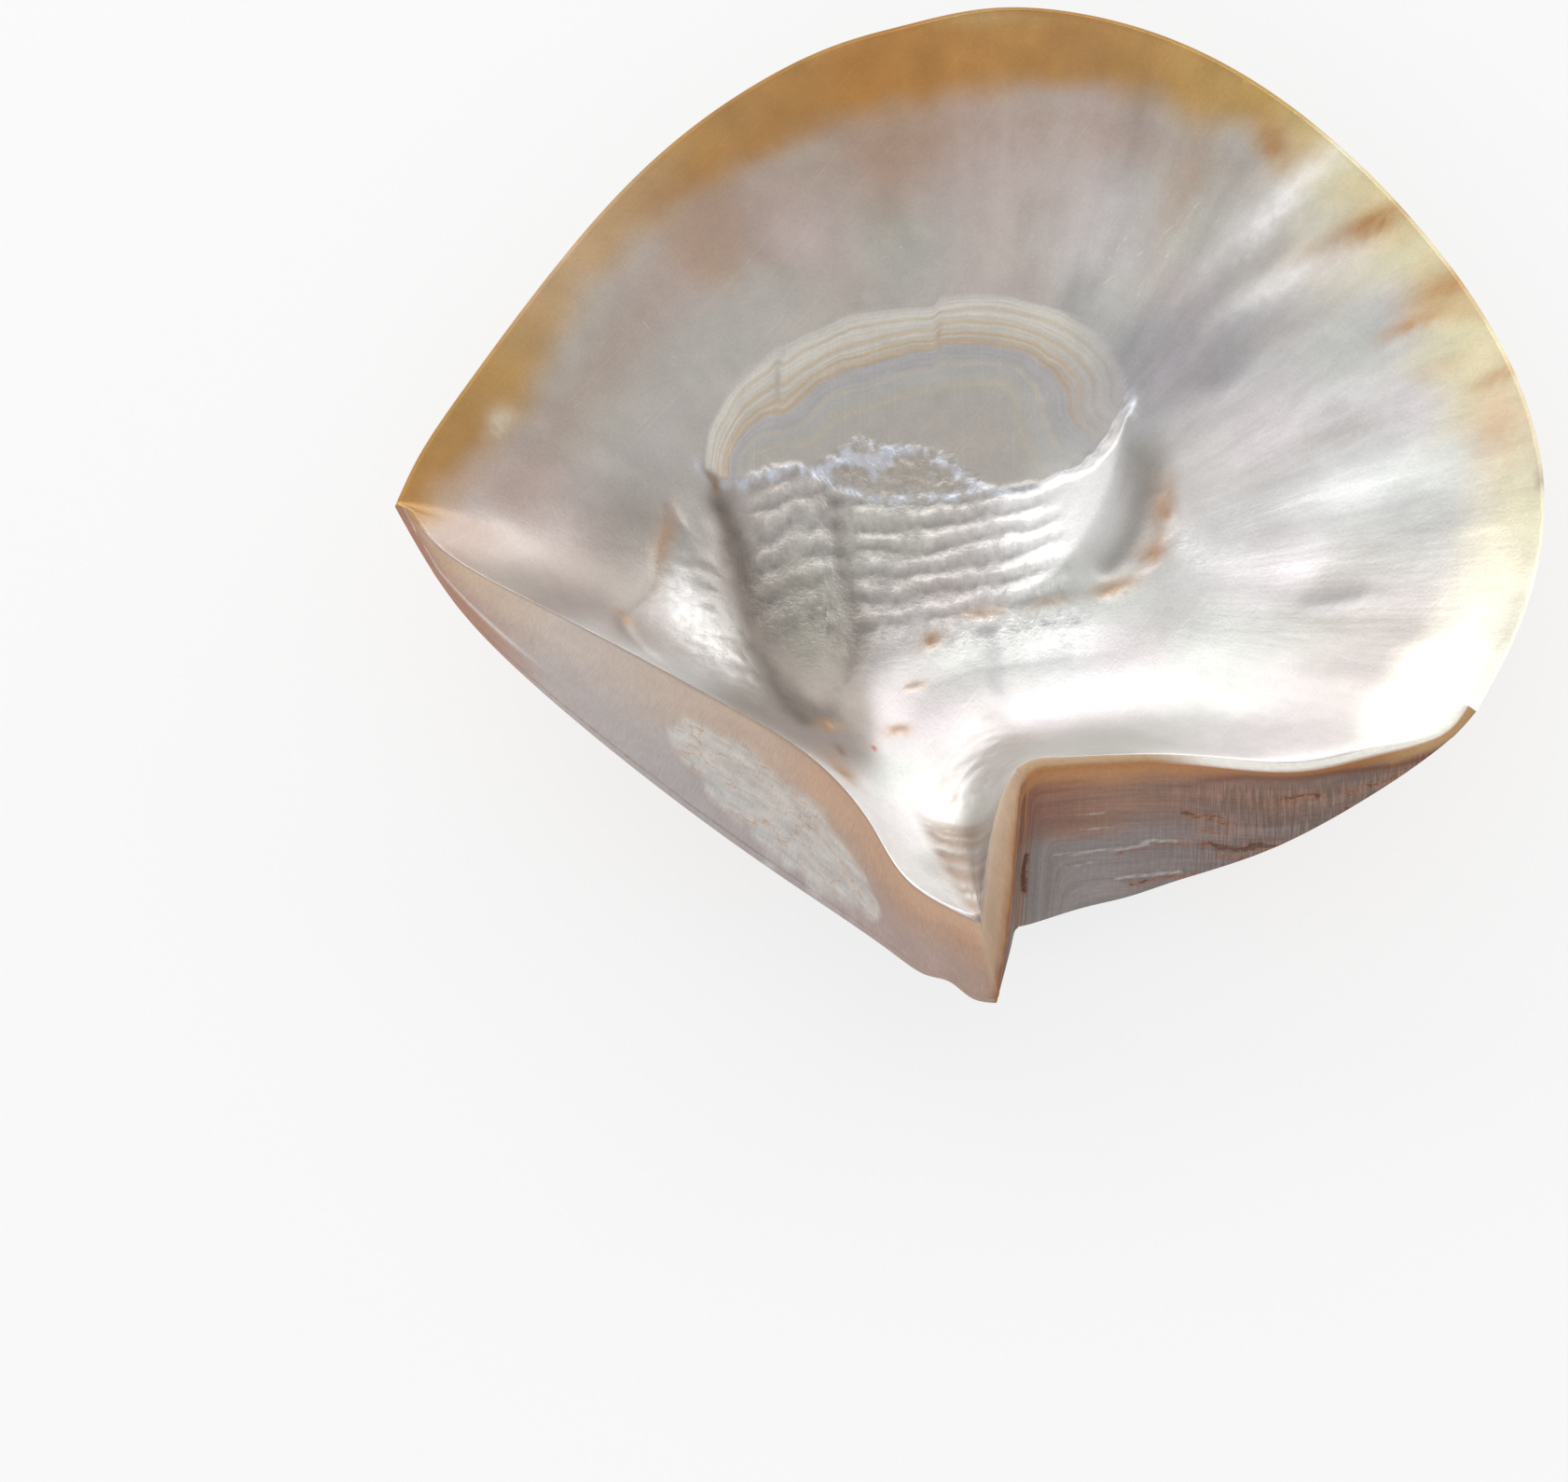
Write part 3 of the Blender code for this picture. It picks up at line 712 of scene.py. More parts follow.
    # what the patterns follow: creases and scales, the scar's growth steps, soft rays, and scratches
    scaly = spot(x, y, (-38, -19, 13, 5.5, -66)) + 0.7 * spot(x, y, (31.5, -4.5, 5, 2.5, -70))
    creased = np.maximum(np.maximum(creased, scaly), 1.6 * onShelf)
    shown = smoothStep(depth, -0.3, 0.6) * (1 - 0.7 * smoothStep(x - 0.4 * y, 0, 14)) * (1 - stained)
    scar = np.column_stack([terrace, topShare * marks["scarLength"], shown])
    far, ray = np.hypot(x - 2, y + 8), np.arctan2(y + 8, x - 2) * marks["rayReach"]
    fanned = smoothStep(far, 22, 40) * smoothStep(x + 0.4 * y, -5, 50) * (depth < 0)
    scratch = np.min([abs(lineDistance(x, y, route, 9)[0]) for route in marks["scratches"]], axis=0)
    fan = np.column_stack([far, ray, fanned])
    return height, colour, creased, scar, fan, np.minimum(scratch, 3)


edges = {
    "hingeTones": [  # share of the hinge from its tip, the colour by the bowl, and the outer colour
        (0, "#b48a66", "#a47a5e"), (0.12, "#c2a890", "#b09080"), (0.3, "#beb0a6", "#b2a8a4"),
        (0.5, "#b9a596", "#a8a09e"), (0.72, "#b69a86", "#a39794"), (0.86, "#b28f76", "#a6918a"),
        (1, "#aa846a", "#9f8475"),
    ],
    "wallTones": [  # millimetres along the notch, the lip's colour, the upper and the lower wall's
        (0, "#a97746", "#80594a", "#87807c"), (12, "#a9784c", "#836353", "#817876"),
        (22, "#a06c40", "#7d5f51", "#726663"), (32, "#8c5a31", "#715548", "#6c5b56"),
        (45, "#92602f", "#756056", "#70625a"), (56, "#bd9664", "#7f6555", "#775f54"),
    ],
    "ridgeTones": [  # share of the ridge's width from the bowl
        (0, "#c9b6a2"), (0.25, "#c3a68b"), (0.7, "#bd9c7e"), (0.92, "#a2744f"), (1, "#8a5a3c"),
    ],
    "lipDepths": [  # millimetres along the notch, depth of its lip
        (0, 1.6), (12, 2.2), (22, 1.8), (30, 0.5), (42, 0.5), (50, 1.4), (66, 1.7),
    ],
    "cracks": [  # route as millimetres along the notch and down the wall, half width, depth
        ([(3, 3.9), (6, 3.6), (9, 3.7)], -0.1, 0.1), ([(6.5, 6.4), (9.5, 6.6)], -0.1, 0.1),
        ([(20, 6.9), (23.5, 7.3), (28, 7.6)], 0.16, 0.25), ([(24, 8), (29, 8.4)], 0, 0.2),
        ([(29, 5.4), (36, 5), (41.5, 4)], -0.02, 0.2), ([(33.5, 4.4), (41, 3.8)], 0.18, 0.3),
        ([(41, 4.8), (47, 4.3), (53, 3.2)], 0, 0.15), ([(11, 12.8), (19, 12.2), (25, 11.2)], 0, 0.2),
        ([(22, 11.3), (28, 12), (33, 11.6), (40, 11.2)], 0.28, 0.4),
        ([(12.5, 17.4), (19, 17), (26, 15.6)], 0.08, 0.25), ([(42, 7.2), (46.5, 6.9)], 0, 0.15),
        ([(25, 13.6), (31, 13.2)], 0, 0.2), ([(23, 9.6), (28.5, 10)], 0, 0.15),
        ([(1, 10), (0.7, 15), (1.3, 18)], 0.3, 0.3),
    ],
    # the ledges' pale colour is a painted highlight where they catch the light
    "ledges": [  # pale growth edges that stand proud: route, half width
        ([(4.5, 9.3), (10, 9), (14, 9.2)], -0.05), ([(2.5, 12.6), (10, 12.4), (20, 11.8)], 0.02),
        ([(11, 16.5), (18, 16.3), (23.5, 15.7)], 0.02), ([(15, 11.2), (22, 11.6)], -0.02),
        ([(4, 14.3), (12, 14.2)], -0.08), ([(6, 6.6), (12, 6.9)], -0.08),
    ],
}


def lineEdge(along, down, routes):
    # distance in mm from the edges of the nearest of several short lines that narrow to their ends
    nearest = np.full(along.shape, 3.0)
    for route, halfWidth, *_ in routes:
        away, share = lineDistance(along, down, route, 12)
        nearest = np.minimum(nearest, abs(away) - halfWidth + 0.6 * (1 - window(share, 0.2, 0.8)))
    return nearest


def dressEdge(grid, columns):
    # millimetres along and across the edge, its relief, and its colours
    rows, count = grid.shape[:2]
    hinge, ridge, notch = np.cumsum(columns)[:3]
    crestRow = edgeRows["band"] + edgeRows["round"] // 2
    steps = np.linalg.norm(np.roll(grid[crestRow], -1, axis=0) - grid[crestRow], axis=1)
    along = np.cumsum(steps) - steps
    rises = np.linalg.norm(np.diff(grid, axis=0), axis=2)
    across = np.vstack([np.zeros(count), np.cumsum(rises, axis=0)])
    down, share = across - across[crestRow], np.clip(across / across[crestRow], 0, 1)
    ends = np.minimum(smoothStep(share, 0, 0.15), 1 - smoothStep(down / (down[-1] + 1e-6), 0.9, 1))
    a, d, across, share, ends, column = (
        np.broadcast_to(field, (rows, count)).ravel()
        for field in (along - along[notch], down, across, share, ends, np.arange(count))
    )
    part = np.clip((column - hinge) / columns[1], 0, 1)
    isHinge = (column >= hinge) & (column < ridge)
    isWall = column >= ridge
    rub = softNoise(a, across, 1.3, 65)

    # ligament: a long lens on the hinge, with a rough face
    middle = 0.52 + 0.22 * smoothStep(part, 0.5, 0.8)
    reach = 0.34 * np.sqrt(np.clip((part - 0.47) * (0.84 - part) / 0.034, 0, 1))
    wobble = 0.06 * softNoise(a, across, 2.4, 60)
    ligament = smoothStep(reach - abs(share - middle) + wobble, -0.02, 0.06) * (reach > 0) * isHinge

    # the shell's layers follow the notch's edge and turn down at its corner; they stand out in
    # steps, with cracks and proud growth edges
    layer = (np.maximum(d, 0.05) ** -8 + np.maximum(2.6 * (a + 0.5), 0.05) ** -8) ** -0.125
    layer = np.where((d > 0) & (a > -0.5), layer, d)
    wander = 0.5 * softNoise(a, d, 9, 61) + 0.2 * softNoise(a, d * 2, 3, 62)
    lamina = layer / 1.7 + wander
    step = lamina - np.floor(lamina)
    relief = 0.13 * (step**2 - smoothStep(step, 0.85, 1)) + 0.06 * softNoise(a / 6, d, 0.7, 63)
    relief += 0.1 * softNoise(a, d, 6, 64)
    jagged = d + 0.35 * softNoise(a, d, 1.1, 72) + 0.25 * softNoise(a, d, 2.6, 73)
    crack = lineEdge(a, jagged, edges["cracks"])
    ledge = lineEdge(a, d + 0.35 * (jagged - d), edges["ledges"])
    for route, halfWidth, deep in edges["cracks"]:
        relief -= deep * (1 - smoothStep(lineEdge(a, jagged, [(route, halfWidth, deep)]), -0.2, 0.4))
    relief += 0.2 * (1 - smoothStep(ledge, -0.2, 0.4))
    relief *= smoothStep(d, 0.2, 1.2) * isWall
    relief += isHinge * 0.1 * softNoise(a, across, 5, 66) + ligament * (0.14 * rub - 0.12)
    relief *= ends * (column >= hinge)
    normals = np.cross(np.gradient(grid, axis=0), np.roll(grid, -1, axis=1) - np.roll(grid, 1, axis=1))
    normals /= np.linalg.norm(normals, axis=2)[..., None] + 1e-9
    shaped = grid + normals * relief.reshape(rows, count, 1)

    # colours of the hinge
    blend = smoothStep(share + 0.08 * rub, 0.15, 0.85)
    colour = toneAlong(part, edges["hingeTones"], 1)
    colour = mixTone(colour, toneAlong(part, edges["hingeTones"], 2), blend)
    for tone, amount in (
        ("#a5735a", 0.7 * smoothStep(share, 0.8, 0.9) * (1 - smoothStep(part, 0.15, 0.35))),
        ("#ddd6cf", 0.7 * bump(share - 0.8, 0.025) * (1 - smoothStep(part, 0.2, 0.32))),
        ("#c09c82", 0.8 * smoothStep(part, 0.62, 0.72) * bump(share - 0.12, 0.16)),
        ("#c4c1bc", 0.65 * ligament * (1 + 0.2 * rub)),
    ):
        colour = mixTone(colour, tone, amount)

    # colours of the notch wall and of the ridge
    lip, upper, under = (toneAlong(a, edges["wallTones"], k) for k in (1, 2, 3))
    lipDepth = np.interp(a, *zip(*edges["lipDepths"]))
    wall = mixTone(upper, under, smoothStep(d + 2.5 * softNoise(a / 3, d, 3, 67), 5, 13))
    layers = 0.13 * softNoise(a / 14, layer, 0.8, 68) + 0.1 * softNoise(a / 5, layer, 1.9, 69)
    wall *= (1 + layers)[:, None]
    corner = (1 - smoothStep(a, 5, 15)) * (1 - smoothStep(layer, 2.5, 7))
    nested = smoothStep(np.sin(2 * np.pi * (layer / 1.5 + 0.3 * wander)), 0.1, 0.9)
    lipEdge = layer + 0.3 * softNoise(a, d, 3, 70)
    rightHand = smoothStep(a, 17, 27)
    for tone, amount in (
        ("#7d4a2f", 0.75 * corner * nested),
        (lip, 1 - smoothStep(lipEdge, 0.1 * lipDepth, 1.8 * lipDepth)),
        ("#6a3b24", 0.85 * bump(d - 1.5 * lipDepth, 0.5) * rightHand),
        ("#cdb294", 0.7 * (1 - smoothStep(d, -1.2, -0.2)) * (1 - rightHand)),
        ("#f6f2e9", rightHand * (1 - smoothStep(d, -0.45, -0.15))),
        ("#a06a36", 0.6 * bump(d - 0.1, 0.35) * (1 - smoothStep(a, 44, 52))),
    ):
        wall = mixTone(wall, tone, amount)
    colour = np.where(isWall[:, None], wall, colour)
    ridgeBand = toneAlong(share + 0.06 * rub, edges["ridgeTones"])
    ridgeBand *= (1 + 0.05 * softNoise(a, across, 2, 71))[:, None]
    onRidge = smoothStep(abs(column - (ridge + notch) / 2) - columns[2] / 2, 2.5, -3)
    colour = mixTone(colour, ridgeBand, onRidge * (1 - smoothStep(d, 0, 0.8)))
    ledge = np.where(column >= notch, ledge, np.where(d > 0.5, 3, ligament))
    traits = np.column_stack([ledge, smoothStep(a, 14, 30), crack])
    return shaped, colour, np.column_stack([a, across, layer]), traits


outside = {
    "beak": (2.4, -79),
    "length": 150,  # of the longest way from the beak to the margin
    "wave": 2.2,  # how far the growth lines wander
    "fanReach": 80,  # how far from the beak the fan lines are as wide as they are given
}


def growthPlace(points, margin):
    # how far out from the beak each point lies on its way to the margin, in millimetres of the longest
    # way, and how far round the beak it lies
    beak = np.array(outside["beak"])
    away = points[:, :2] - beak
    angle = np.arctan2(away[:, 1], away[:, 0])
    rim = margin[:, :2] - beak
    rimAngle = np.arctan2(rim[:, 1], rim[:, 0])
    order = np.argsort(rimAngle)
    full = np.interp(angle, rimAngle[order], np.linalg.norm(rim, axis=1)[order])
    growth = np.linalg.norm(away, axis=1) / full * outside["length"]
    x, y = points[:, 0], points[:, 1]
    growth = growth + outside["wave"] * softNoise(x, y, 16, 80) + 0.7 * softNoise(x, y, 5, 81)
    return np.column_stack([growth, angle * outside["fanReach"]])


def outsideRelief(growth, fan):
    # shallow growth steps left after polishing, deeper away from the beak
    step = softNoise(growth, fan / 60, 5.2, 82) + 0.6 * softNoise(growth, fan / 40, 2.6, 83)
    return 0.14 * step * smoothStep(growth, 50, 80)


def setAttribute(mesh, name, kind, values):
    # one value for each vertex, as a colour, a vector or a number
    field = {"FLOAT_COLOR": "color", "FLOAT_VECTOR": "vector"}[kind]
    attribute = mesh.attributes.new(name, kind, "POINT")
    attribute.data.foreach_set(field, np.ascontiguousarray(values, np.float32).ravel())


def addObject(name, data, spot=(0, 0, 0), target=None):
    # a new object in the scene at its spot, turned to its target
    thing = bpy.data.objects.new(name, data)
    thing.location = spot
    if target:
        thing.rotation_euler = (Vector(target) - Vector(spot)).to_track_quat("-Z", "Y").to_euler()
    bpy.context.scene.collection.objects.link(thing)
    return thing


def buildValve():
    columns = outline["columns"]
    inner, crest, outer = edgeLoops(outline)
    around = len(inner)
    bowlNet, bowlFaces, bowlRim, bowlRing = dishSurface(bowl, around // 8, inner, columns)
    # the back is half as fine, so each point of its rim serves two of the outer edge's
    backColumns = [count // 2 for count in columns]
    backNet, backFaces, backRim, backRing = dishSurface(back, around // 16, outer[::2], backColumns)
    backNet[backNet[:, 2] < 1e-6, 2] = 0
    grid = edgeSurface(inner, crest, outer, edgeRows)
    middle = (grid.min((0, 1)) + grid.max((0, 1))) / 2 * (1, 1, 0)
    bowlNet[bowlRim] = inner
    relief, bowlColours, creased, scar, fan, scratch = dressBowl(bowlNet[:, 0], bowlNet[:, 1])
    bowlNet[:, 2] += relief * (1 - smoothStep(bowlRing / bowlRing.max(), 0.9, 1))
    grid, edgeColours, edgePlace, edgeTraits = dressEdge(grid, columns)
    growth = growthPlace(np.vstack([grid[-1], backNet]), outer[: columns[0]])
    rise = outsideRelief(*growth[around:].T) * (1 - smoothStep(backRing / backRing.max(), 0.85, 1))
    centreX, centreY = back["centre"]
    backNet[:, 2] += rise * smoothStep(np.hypot(backNet[:, 0] - centreX, backNet[:, 1] - centreY), 12, 26)
    print("surfaces worked out")

    # vertices: bowl net, edge rows below the inner edge, back net
    rowCount, bowlCount = len(grid), len(bowlNet)
    backStart = bowlCount + (rowCount - 1) * around
    edgeIndex = np.vstack([bowlRim, np.arange(bowlCount, backStart).reshape(rowCount - 1, around)])
    points = np.vstack([bowlNet, grid[1:].reshape(-1, 3), backNet])
    faces = bowlFaces.tolist()
    kinds = [0] * len(faces)

    # each stretch of the edge keeps its own rows; where two stretches meet, a face takes in the
    # rows that only one of them has
    bandEnd = edgeRows["band"]
    roundEnd = bandEnd + edgeRows["round"]
    kept = []
    for n, (bandStep, wallStep) in zip(columns, edgeRows["steps"]):
        rows = [*range(0, bandEnd, bandStep), *range(bandEnd, roundEnd + 1)]
        kept += [rows + list(range(roundEnd + wallStep, rowCount, wallStep))] * n
    stretch = np.repeat(np.arange(4), columns)
    for i in range(around):
        j = (i + 1) % around
        shared = [row for row in kept[i] if row in kept[j]]
        for top, bottom in zip(shared[:-1], shared[1:]):
            left, right = ([edgeIndex[row, k] for row in kept[k] if top <= row <= bottom] for k in (i, j))
            faces.append(left + right[::-1])
            isBand = stretch[i] in (1, 2) and top < roundEnd
            kinds.append(0 if stretch[i] == 0 else 1 if isBand else 2)
    for i, rim in enumerate(backRim):
        edge = [edgeIndex[-1, k % around] for k in (2 * i, 2 * i + 2, 2 * i + 1)]
        faces.append([edge[0], backStart + rim, backStart + backRim[(i + 1) % len(backRim)], *edge[1:]])
    faces += (backFaces[:, ::-1] + backStart).tolist()
    kinds += [3] * (len(faces) - len(kinds))
    used = np.zeros(len(points), bool)
    used[[k for face in faces for k in face]] = True
    renumber = np.cumsum(used) - 1
    mesh = bpy.data.meshes.new("valve_shell")
    points = (points[used] - middle) * mm
    mesh.from_pydata(points.tolist(), [], [renumber[face].tolist() for face in faces])
    mesh.polygons.foreach_set("material_index", np.array(kinds, np.int32))
    mesh.shade_smooth()
    # the outer edge is cut crisp, where the sides meet the back
    onEdge = np.zeros(len(used), bool)
    onEdge[edgeIndex[-1]] = True
    ends = np.zeros(2 * len(mesh.edges), np.int32)
    mesh.edges.foreach_get("vertices", ends)
    crisp = onEdge[used][ends.reshape(-1, 2)].all(axis=1)
    mesh.attributes.new("sharp_edge", "BOOLEAN", "EDGE").data.foreach_set("value", crisp)

    # attributes: the bowl's values, then the edge's, which start on the bowl's rim, then the back's
    colours, tints, places, traits, growths, scars = np.zeros((6, len(used), 3))
    colours[:bowlCount] = bowlColours
    colours[edgeIndex[1:]] = bowlColours[bowlRim]
    scars[:bowlCount], growths[:bowlCount], traits[:bowlCount, 1] = scar, fan, scratch
    for field, values in ((tints, edgeColours), (places, edgePlace), (traits, edgeTraits)):
        field[edgeIndex.ravel()] = values
    growths[edgeIndex[-1], :2], growths[backStart:, :2] = growth[:around], growth[around:]
    alpha = np.zeros(len(used))
    alpha[:bowlCount] = creased
    for name, field in (("nacreTint", colours), ("edgeTint", tints)):
        setAttribute(mesh, name, "FLOAT_COLOR", np.column_stack([field, alpha])[used])
    for name, field in (
        ("edgePlace", places), ("edgeTraits", traits), ("growthPlace", growths), ("scarPlace", scars),
    ):
        setAttribute(mesh, name, "FLOAT_VECTOR", field[used])
    return addObject("valve_shell", mesh)


def addNode(tree, kind, inputs, **settings):
    # inputs go by a socket's name or number, and each is a value or another node's output; gives the
    # new node's outputs
    node = tree.nodes.new("ShaderNode" + kind)
    for name, value in settings.items():
        setattr(node, name, value)
    for name, value in inputs.items():
        if isinstance(value, bpy.types.NodeSocket):
            tree.links.new(value, node.inputs[name])
        else:
            node.inputs[name].default_value = value
    return node.outputs


def setRamp(output, stops):
    # stops are places with a hex colour or a grey level
    ramp = output.node.color_ramp
    while len(ramp.elements) < len(stops):
        ramp.elements.new(0.5)
    for element, (place, tone) in zip(ramp.elements, stops):
        element.position = place
        element.color = (*hexColour(tone), 1) if isinstance(tone, str) else (tone, tone, tone, 1)


def startMaterial(name, roughness, metallic, *attributes):
    # the material, its tree and its shader, and then what it reads of each named attribute
    material = bpy.data.materials.new(name)
    material.use_nodes = True
    tree = material.node_tree
    shader = tree.nodes["Principled BSDF"]
    shader.inputs["Roughness"].default_value = roughness
    shader.inputs["Metallic"].default_value = metallic
    read = [addNode(tree, "Attribute", {}, attribute_name=attribute) for attribute in attributes]
    return material, tree, shader, *read


def layPatterns(tree, shader, colour, patterns):
    # Each pattern is noise over a place in mm, with patches of a set width in mm along X, Y and Z.
    # Between two of its levels it shades the colour from dark to light, and it stands up by a depth
    # in mm; a mask, where there is one, keeps it to one part of the surface.
    under = {}
    for place, size, (fromLow, fromHigh), (dark, light), deep, mask in patterns:
        scaled = addNode(tree, "Mapping", {"Vector": place, "Scale": [1 / side for side in size]})[0]
        noise = addNode(tree, "TexNoise", {"Vector": scaled, "Scale": 1, "Detail": 3, "Roughness": 0.58})[0]
        levels = {"From Min": fromLow, "From Max": fromHigh, "To Min": dark, "To Max": light}
        level = addNode(tree, "MapRange", {"Value": noise, **levels})[0]
        shaded = addNode(tree, "VectorMath", {0: colour, 1: level}, operation="MULTIPLY")[0]
        if mask:
            shaded = addNode(tree, "Mix", {0: mask, 6: colour, 7: shaded}, data_type="RGBA")[2]
            noise = addNode(tree, "Math", {0: noise, 1: mask}, operation="MULTIPLY")[0]
        colour = shaded
        under["Normal"] = addNode(tree, "Bump", {"Height": noise, "Distance": deep * mm, **under})[0]
    tree.links.new(colour, shader.inputs["Base Color"])
    tree.links.new(under["Normal"], shader.inputs["Normal"])


def nacreMaterial():
    # nacre, polished by hand: a soft satin mirror under cloudy greys, with gold near the margin
    material, tree, shader, inside, scar, rays, traits = startMaterial(
        "nacre_polished", 0.37, 0.5, "nacreTint", "scarPlace", "growthPlace", "edgeTraits"
    )
    scar, rays, creased = scar["Vector"], rays["Vector"], inside["Alpha"]
    place = addNode(tree, "TexCoord", {})["Object"]
    place = addNode(tree, "VectorMath", {0: place, "Scale": 1 / mm}, operation="SCALE")[0]
    below, _, onScar = addNode(tree, "SeparateXYZ", {0: scar})
    shareDown = addNode(tree, "MapRange", {"Value": below, "From Max": marks["scarDepth"]})[0]
    bands = addNode(tree, "ValToRGB", {"Fac": shareDown})[0]
    setRamp(bands, [
        (0, "#b3ada6"), (0.03, "#c9c5be"), (0.1, "#cdc9c0"), (0.125, "#c6baa8"), (0.15, "#ccc8bf"),
        (0.21, "#c8c3b9"), (0.25, "#c3b39d"), (0.275, "#c5c0b7"), (0.32, "#c2bbb0"), (0.345, "#bda78c"),
        (0.37, "#bdb6ac"), (0.42, "#b9a48c"), (0.45, "#aeaaa9"), (0.56, "#a9a6a7"), (0.62, "#b5aea3"),
        (0.65, "#acaaa8"), (0.78, "#afaaa2"), (0.82, "#b4ac9f"), (0.85, "#ada8a1"), (1, "#ada7a0"),
    ])
    tint = addNode(tree, "Mix", {0: onScar, 6: inside["Color"], 7: bands}, data_type="RGBA")[2]
    fading = {"From Min": 6, "From Max": 11, "To Min": 1, "To Max": 0.1}
    terraces = addNode(tree, "MapRange", {"Value": below, **fading})[0]
    terraces = addNode(tree, "Math", {0: terraces, 1: onScar}, operation="MULTIPLY")[0]
    # polishing marks run up to the right; drawn 0.3 mm wide, coarser than the real ones, so they show
    turned = addNode(tree, "Mapping", {"Vector": place, "Rotation": (0, 0, -0.93)})[0]
    fanned = addNode(tree, "SeparateXYZ", {0: rays})["Z"]
    # a few long scratches, drawn as pale hairlines
    toScratch = addNode(tree, "SeparateXYZ", {0: traits["Vector"]})["Y"]
    fading = {"From Min": 0.04, "From Max": 0.16, "To Min": 1.25, "To Max": 1}
    hairline = addNode(tree, "MapRange", {"Value": toScratch, **fading})[0]
    tint = addNode(tree, "VectorMath", {0: tint, 1: hairline}, operation="MULTIPLY")[0]
    layPatterns(tree, shader, tint, [
        (place, (3.2, 3.2, 3.2), (0.3, 0.7), (0.955, 1.04), 0.05, None),
        (place, (0.45, 0.45, 0.45), (0.3, 0.7), (0.955, 1.045), 0.03, None),
        (turned, (34, 0.3, 6), (0.62, 0.76), (1, 1.12), 0.015, None),
        (rays, (26, 4.2, 900), (0.3, 0.7), (0.91, 1.1), 0.15, fanned),
        (rays, (14, 1.1, 900), (0.3, 0.7), (0.98, 1.02), 0.018, fanned),
        (place, (1.1, 1.9, 1.9), (0.35, 0.65), (0.91, 1.08), 0.16, creased),
        (place, (0.9, 0.6, 1), (0.35, 0.65), (0.95, 1.05), 0.08, creased),
        (scar, (0.4, 22, 1), (0.3, 0.7), (0.87, 1.1), 0.05, terraces),
        (place, (0.35, 16, 16), (0.6, 0.74), (1, 1.09), 0.02, onScar),
    ])
    return material


def hingeMaterial():
    # shell ground flat on a wheel: chalky and pale, with fine marks across it and the old ligament's
    # scales in the middle
    material, tree, shader, tint, traits, place = startMaterial(
        "shell_ground", 0.5, 0, "edgeTint", "edgeTraits", "edgePlace"
    )
    place = place["Vector"]
    ligament = addNode(tree, "SeparateXYZ", {0: traits["Vector"]})["X"]
    # the scales' curled outlines are thin contours of slow noise
    stretched = addNode(tree, "Mapping", {"Vector": place, "Scale": (0.07, 0.22, 0)})[0]
    scales = addNode(tree, "TexNoise", {"Vector": stretched, "Scale": 1, "Detail": 4})[0]
    curls = addNode(tree, "ValToRGB", {"Fac": scales})[0]
    setRamp(curls, [(0, 0), (0.47, 0), (0.478, 0.75), (0.486, 0), (0.55, 0), (0.556, 0.5), (0.562, 0)])
    curl = addNode(tree, "Math", {0: curls, 1: ligament}, operation="MULTIPLY")[0]
    curlTone = (*hexColour("#b48763"), 1)
    colour = addNode(tree, "Mix", {0: curl, 6: tint["Color"], 7: curlTone}, data_type="RGBA")[2]
    layPatterns(tree, shader, colour, [
        (place, (0.28, 9, 1), (0.3, 0.7), (0.92, 1.08), 0.02, None),
        (place, (6, 2.5, 9), (0.3, 0.7), (0.95, 1.05), 0.1, None),
        (place, (4.2, 0.9, 9), (0.35, 0.65), (0.9, 1.12), 0.14, ligament),
    ])
    return material


def wallMaterial():
    # the shell's layers seen edge on where the notch was: dull, banded along, with fine upright fibres
    material, tree, shader, tint, traits, place = startMaterial(
        "shell_layers", 0.55, 0, "edgeTint", "edgeTraits", "edgePlace"
    )
    colour, place = tint["Color"], place["Vector"]
    ledge, fibrous, crack = addNode(tree, "SeparateXYZ", {0: traits["Vector"]})
    down = addNode(tree, "SeparateXYZ", {0: place})["Z"]
    ragged = addNode(tree, "Mapping", {"Vector": place, "Scale": (1.1, 1.8, 0)})[0]
    jag = addNode(tree, "TexNoise", {"Vector": ragged, "Scale": 1, "Detail": 3})[0]
    # cracks are brown at their lips and dark inside with painted shade, and growth edges are lightened by a
    # painted highlight where they catch the light
    for edge, jagged, near, far, tone in (
        (ledge, 0.4, 0.2, 0.55, "#aca5a0"), (crack, 1, 0.5, 0.95, "#865a41"), (crack, 1, 0.4, 0.6, "#432a20"),
    ):
        rough = addNode(tree, "Math", {0: jag, 1: jagged, 2: edge}, operation="MULTIPLY_ADD")[0]
        fading = {"From Min": near, "From Max": far, "To Min": 0.9, "To Max": 0}
        amount = addNode(tree, "MapRange", {"Value": rough, **fading})[0]
        colour = addNode(tree, "Mix", {0: amount, 6: colour, 7: (*hexColour(tone), 1)}, data_type="RGBA")[2]
    belowLip = addNode(tree, "MapRange", {"Value": down, "From Min": 0.8, "From Max": 3})[0]
    upright = addNode(tree, "Math", {0: belowLip, 1: fibrous}, operation="MULTIPLY")[0]
    layPatterns(tree, shader, colour, [
        (place, (9, 900, 0.4), (0.3, 0.7), (0.86, 1.14), 0.1, belowLip),
        (place, (0.32, 4, 900), (0.42, 0.62), (0.82, 1.42), 0.06, upright),
        (place, (0.32, 5, 900), (0.5, 0.7), (1, 1.14), 0.03, belowLip),
        (place, (0.8, 0.6, 900), (0.3, 0.7), (0.92, 1.08), 0.03, None),
    ])
    return material


